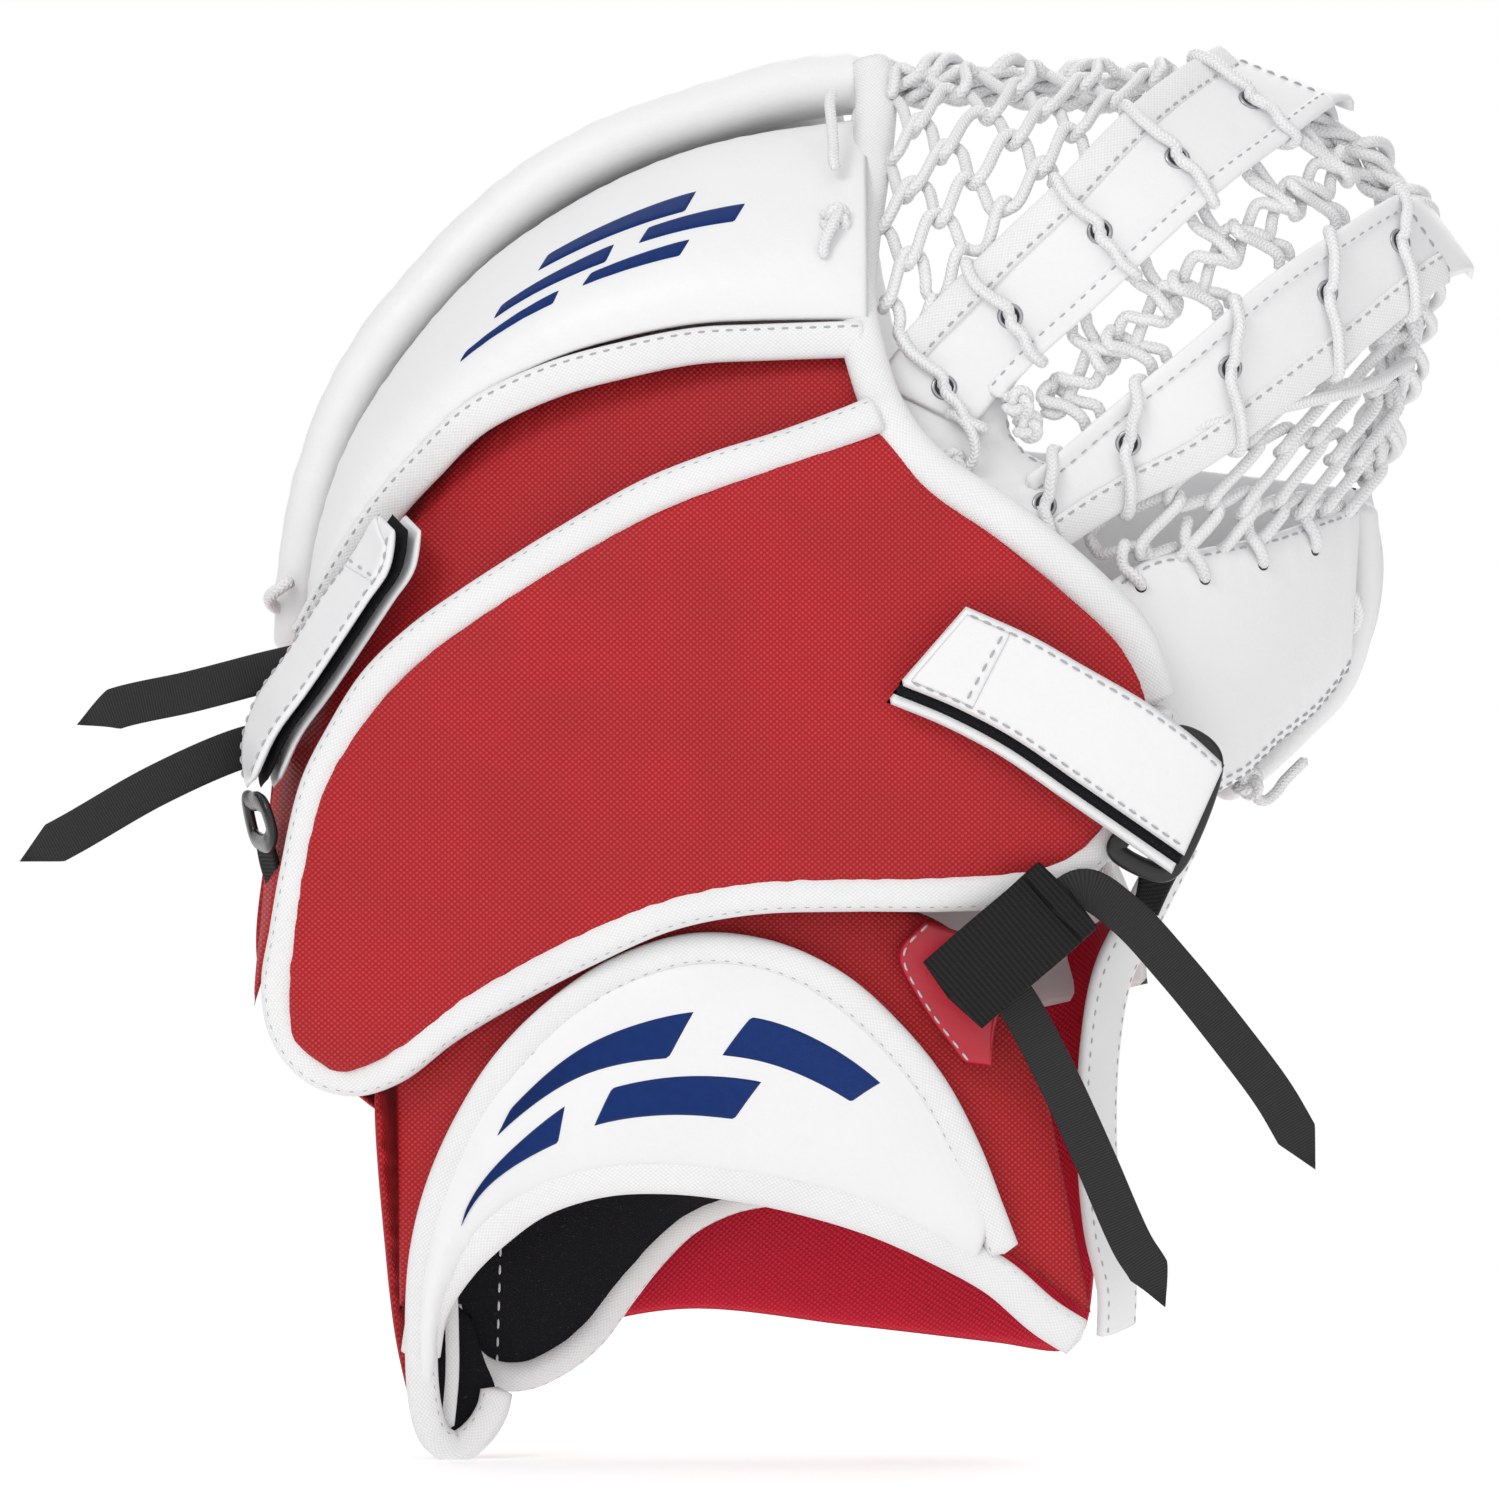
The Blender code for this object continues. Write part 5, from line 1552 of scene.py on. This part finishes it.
for number, (name, body) in enumerate(RIM_PLACES.items()):
    first, last = (round(share * 360) for share in RIM_SPLITS[number : number + 2])
    part = rim_line[max(first - (number > 0), 0) : last + 1 + (number < 2)]
    corners = part[::4] if (len(part) - 1) % 4 == 0 else np.vstack([part[::4], part[-1:]])
    patch, _ = band(corners, 17.0, 4.0, facing=rim_out[(first + last) // 2], squareness=0.6)
    piece = make_piece(name + "_leather", patch, "white_leather", body, [name])
    spiral = slice(first, last + 1)
    wraps = []
    for turns, phase, reach in ((19.0, 0.0, 5.5), (23.0, 2.2, 6.0)):
        angle = 2 * np.pi * rim_along[spiral] / turns + phase
        outwards = rim_out[spiral] * (reach - 1.2) * np.cos(angle)
        wraps.append(rim_line[spiral] + outwards + rim_deep * (12.5 * np.sin(angle)))
    for height, depth, pitch in ((-2.0, -11.0, 24.0), (-7.5, -9.5, 21.0)):
        angle = 2 * np.pi * rim_along[spiral] / pitch
        for phase in (0.0, np.pi):
            wraps.append(
                rim_line[spiral] + rim_out[spiral] * (height + 1.9 * np.cos(angle + phase))
                + rim_deep * (depth + 1.9 * np.sin(angle + phase))
            )
    wrapping = laced(name + "_laces", wraps, body)
    if name in RIM_BLENDS:
        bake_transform(piece)
        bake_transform(wrapping)
print("net and rim made")

# %% [markdown]
# ## Small laces and knots
# Where a lace ends it is knotted. An overhand knot, pulled tight, is a short closed curve that winds
# three times round its own core, so a knot here is a tube on a small (2, 3) torus knot.


# %% Lace ends and knots
def knot(centre, size=3.0, radius=1.7, axis=FACING_BACK, turn=0.0):
    """A trefoil: a point going twice round a ring while it goes three times round the ring's tube."""
    axis = unit(np.asarray(axis, float))
    side = unit(np.cross(axis, [np.sin(turn), 0.1, np.cos(turn)]))
    third = np.cross(axis, side)
    a = np.linspace(0, 2 * np.pi, 60)[:, None]
    ring = size * (1 + 0.45 * np.cos(3 * a))
    flat = side * ring * np.cos(2 * a) + third * ring * np.sin(2 * a)
    return np.asarray(centre, float) + flat + axis * 0.55 * size * np.sin(3 * a)


THIN_LACE = 1.7  # millimetres
PANEL_LOOP = [(25, 17, 199), (24, 12, 195), (24.5, 6, 189), (25, -2, 181), (25, -6, 177), (26, -8, 174)]
PANEL_TAIL = [(27, -20, 163), (26, -24, 160), (24, -27, 156), (22, -29, 151), (22, -30, 147)]
panel_laces = [smooth(PANEL_LOOP, 40), knot((25.5, -21, 159), 2.6), smooth(PANEL_TAIL, 30)]
laced("finger_panel_laces", panel_laces, "hand_side", ["finger_panel_lace"], radius=THIN_LACE)
ROLL_LOOP = [(-138, 38, 52), (-141, 36, 50), (-145, 38, 47), (-144, 44, 44), (-140, 48, 42)]
laced("finger_roll_lace", [smooth(ROLL_LOOP, 30)], "hand_side", radius=2.0)
THUMB_TAIL = [(151, 20, -10), (154, 22, -15), (158, 24, -13), (161, 24, -9), (168, 24, -2)]
THUMB_LOOP = [(178, 36, 49), (182, 33, 47), (184, 33, 42), (182, 36, 37), (179, 38, 36)]
heel_laces = [smooth(THUMB_TAIL, 40), knot((150, 20, -9.5), 2.7), smooth(THUMB_LOOP, 30)]
laced("thumb_laces", heel_laces, "thumb_side", ["thumb_lace_tail"], radius=THIN_LACE)
ROOT_TAIL = [(58, -27, 101), (62, -31, 100), (66, -33, 95), (67, -33, 88), (63, -32, 82)]
root_knots = [knot((60, -31, 86), 2.4), knot((80, -27, 104), 2.8), knot((83, -25, 97), 2.6)]
laced("web_root_laces", [smooth(ROOT_TAIL, 30), *root_knots], "pocket", radius=THIN_LACE)
CROSS_LACE = [(122, -20, 92), (134, -22, 97), (150, -17, 101), (168, -7, 105), (186, 8, 110), (200, 30, 118)]
laced("thumb_net_cross_lace", [smooth(CROSS_LACE, 60)], "pocket")
THUMB_HOLES = [(117, 49), (136, 52), (154, 56), (170, 61)]
# Each lace hole on the thumb is a dark disc of painted shade, standing in for the shadow inside the hole.
HOLE_SHADE_PROFILE = [(0.0, 0.25), (1.5, 0.22), (1.9, 0.0), (1.9, -0.4), (0.0, -0.5)]
hole_shade_patches, hole_laces = [], []
for x, z in THUMB_HOLES:
    s, t = nearest_share(thumb_face, x, z, 0.0, 0.4)
    centre = across_strap(thumb_face, s, t, 0.05)
    axis = unit(sampled(normals_of(thumb_face), s, t))
    hole_shade_patches.append(turned(HOLE_SHADE_PROFILE, centre, axis, 14))
    top = across_strap(thumb_face, max(s - 0.05, 0), 0.01, 2.2)
    hole_laces.append(smooth([
        centre + (0.4, 0, -0.3) - axis * 1.5, centre + axis * 1.2 + (-0.6, 0, 1.0),
        (centre + top) / 2 + axis * 2.4, top + axis * 0.8 + (0, 0, 1.0),
        top + (0, 0, 6.0) + axis * 0.5, top + (1.5, 2.0, 9.0),
    ], 40))
make_piece("thumb_lace_hole_shade", hole_shade_patches, "dark_hole", "thumb_side", weld=0.001)
laced("thumb_edge_laces", hole_laces, "thumb_side")
print("laces and knots made")

# %% [markdown]
# ## Embroidery
# The panels carry plain swept bars in blue satin stitch. Each bar is a slanted four-sided patch whose
# corners are shares of the panel, so it lies on the panel's own curve.


# %% Embroidered bars
def embroidered(name, face, bars, body, height=0.75):
    """Raised bars on a panel's face: each is four (s, t) corners, filled by mixing opposite edges."""
    patches = []
    for corners in bars:
        (a, b, c, d) = np.asarray(corners, float)
        u, v = np.meshgrid(np.linspace(0, 1, 60), np.linspace(0, 1, 14), indexing="ij")
        u, v = u[..., None], v[..., None]
        share = (1 - v) * ((1 - u) * a + u * b) + v * ((1 - u) * d + u * c)
        up = unit(sampled(normals_of(face), share[..., 0], share[..., 1]))
        base = sampled(face, share[..., 0], share[..., 1])
        rise = edge_share(60, 26.0)[:, None] * edge_share(14, 5.0)[None]
        patches += [grid_patch(base + up * (height * rise - 0.1)[..., None]), grid_patch(base - up * 0.1)]
    return make_piece(name, patches, "blue_thread", body)


def slanted(s0, s1, t0, t1, lean, taper=0.0):
    """Corners of a bar from s0 to s1 along and t0 to t1 across, its ends leaning by lean.

    The share taper of its height is taken off at its start.
    """
    middle = (t0 + t1) / 2
    low, high = (middle + (t - middle) * (1 - taper) for t in (t0, t1))
    return [(s0, low), (s1 - lean, t0), (s1, t1), (s0 + lean, high)]


embroidered("finger_panel_bars", finger_face, [
    slanted(0.40, 0.57, 0.36, 0.43, 0.015, 0.5), slanted(0.47, 0.66, 0.48, 0.57, 0.018, 0.4),
    slanted(0.55, 0.78, 0.62, 0.72, 0.020, 0.3), slanted(0.60, 0.76, 0.38, 0.46, 0.018, 0.3),
    slanted(0.69, 0.84, 0.51, 0.60, 0.018, 0.2),
], "hand_side")
embroidered("wrist_pad_bars", wrist_face, [
    slanted(0.22, 0.42, 0.26, 0.46, 0.02, 0.75), slanted(0.32, 0.58, 0.54, 0.76, 0.03, 0.6),
    slanted(0.45, 0.66, 0.26, 0.46, 0.03, 0.1), slanted(0.61, 0.80, 0.54, 0.76, 0.03, 0.1),
], "wrist_flap")
print("embroidery made")

# %% [markdown]
# ## Hidden stiffeners
# The plastic stiffeners inside both halves keep the shapes that the frame gives them and only need
# their finish.

# %% Stiffeners
for node in ("finger_stiffener", "thumb_stiffener"):
    plate = frame["nodes"][node]
    plate.data.materials.clear()
    plate.data.materials.append(FINISHES["stiffener"])
print("stiffeners finished")
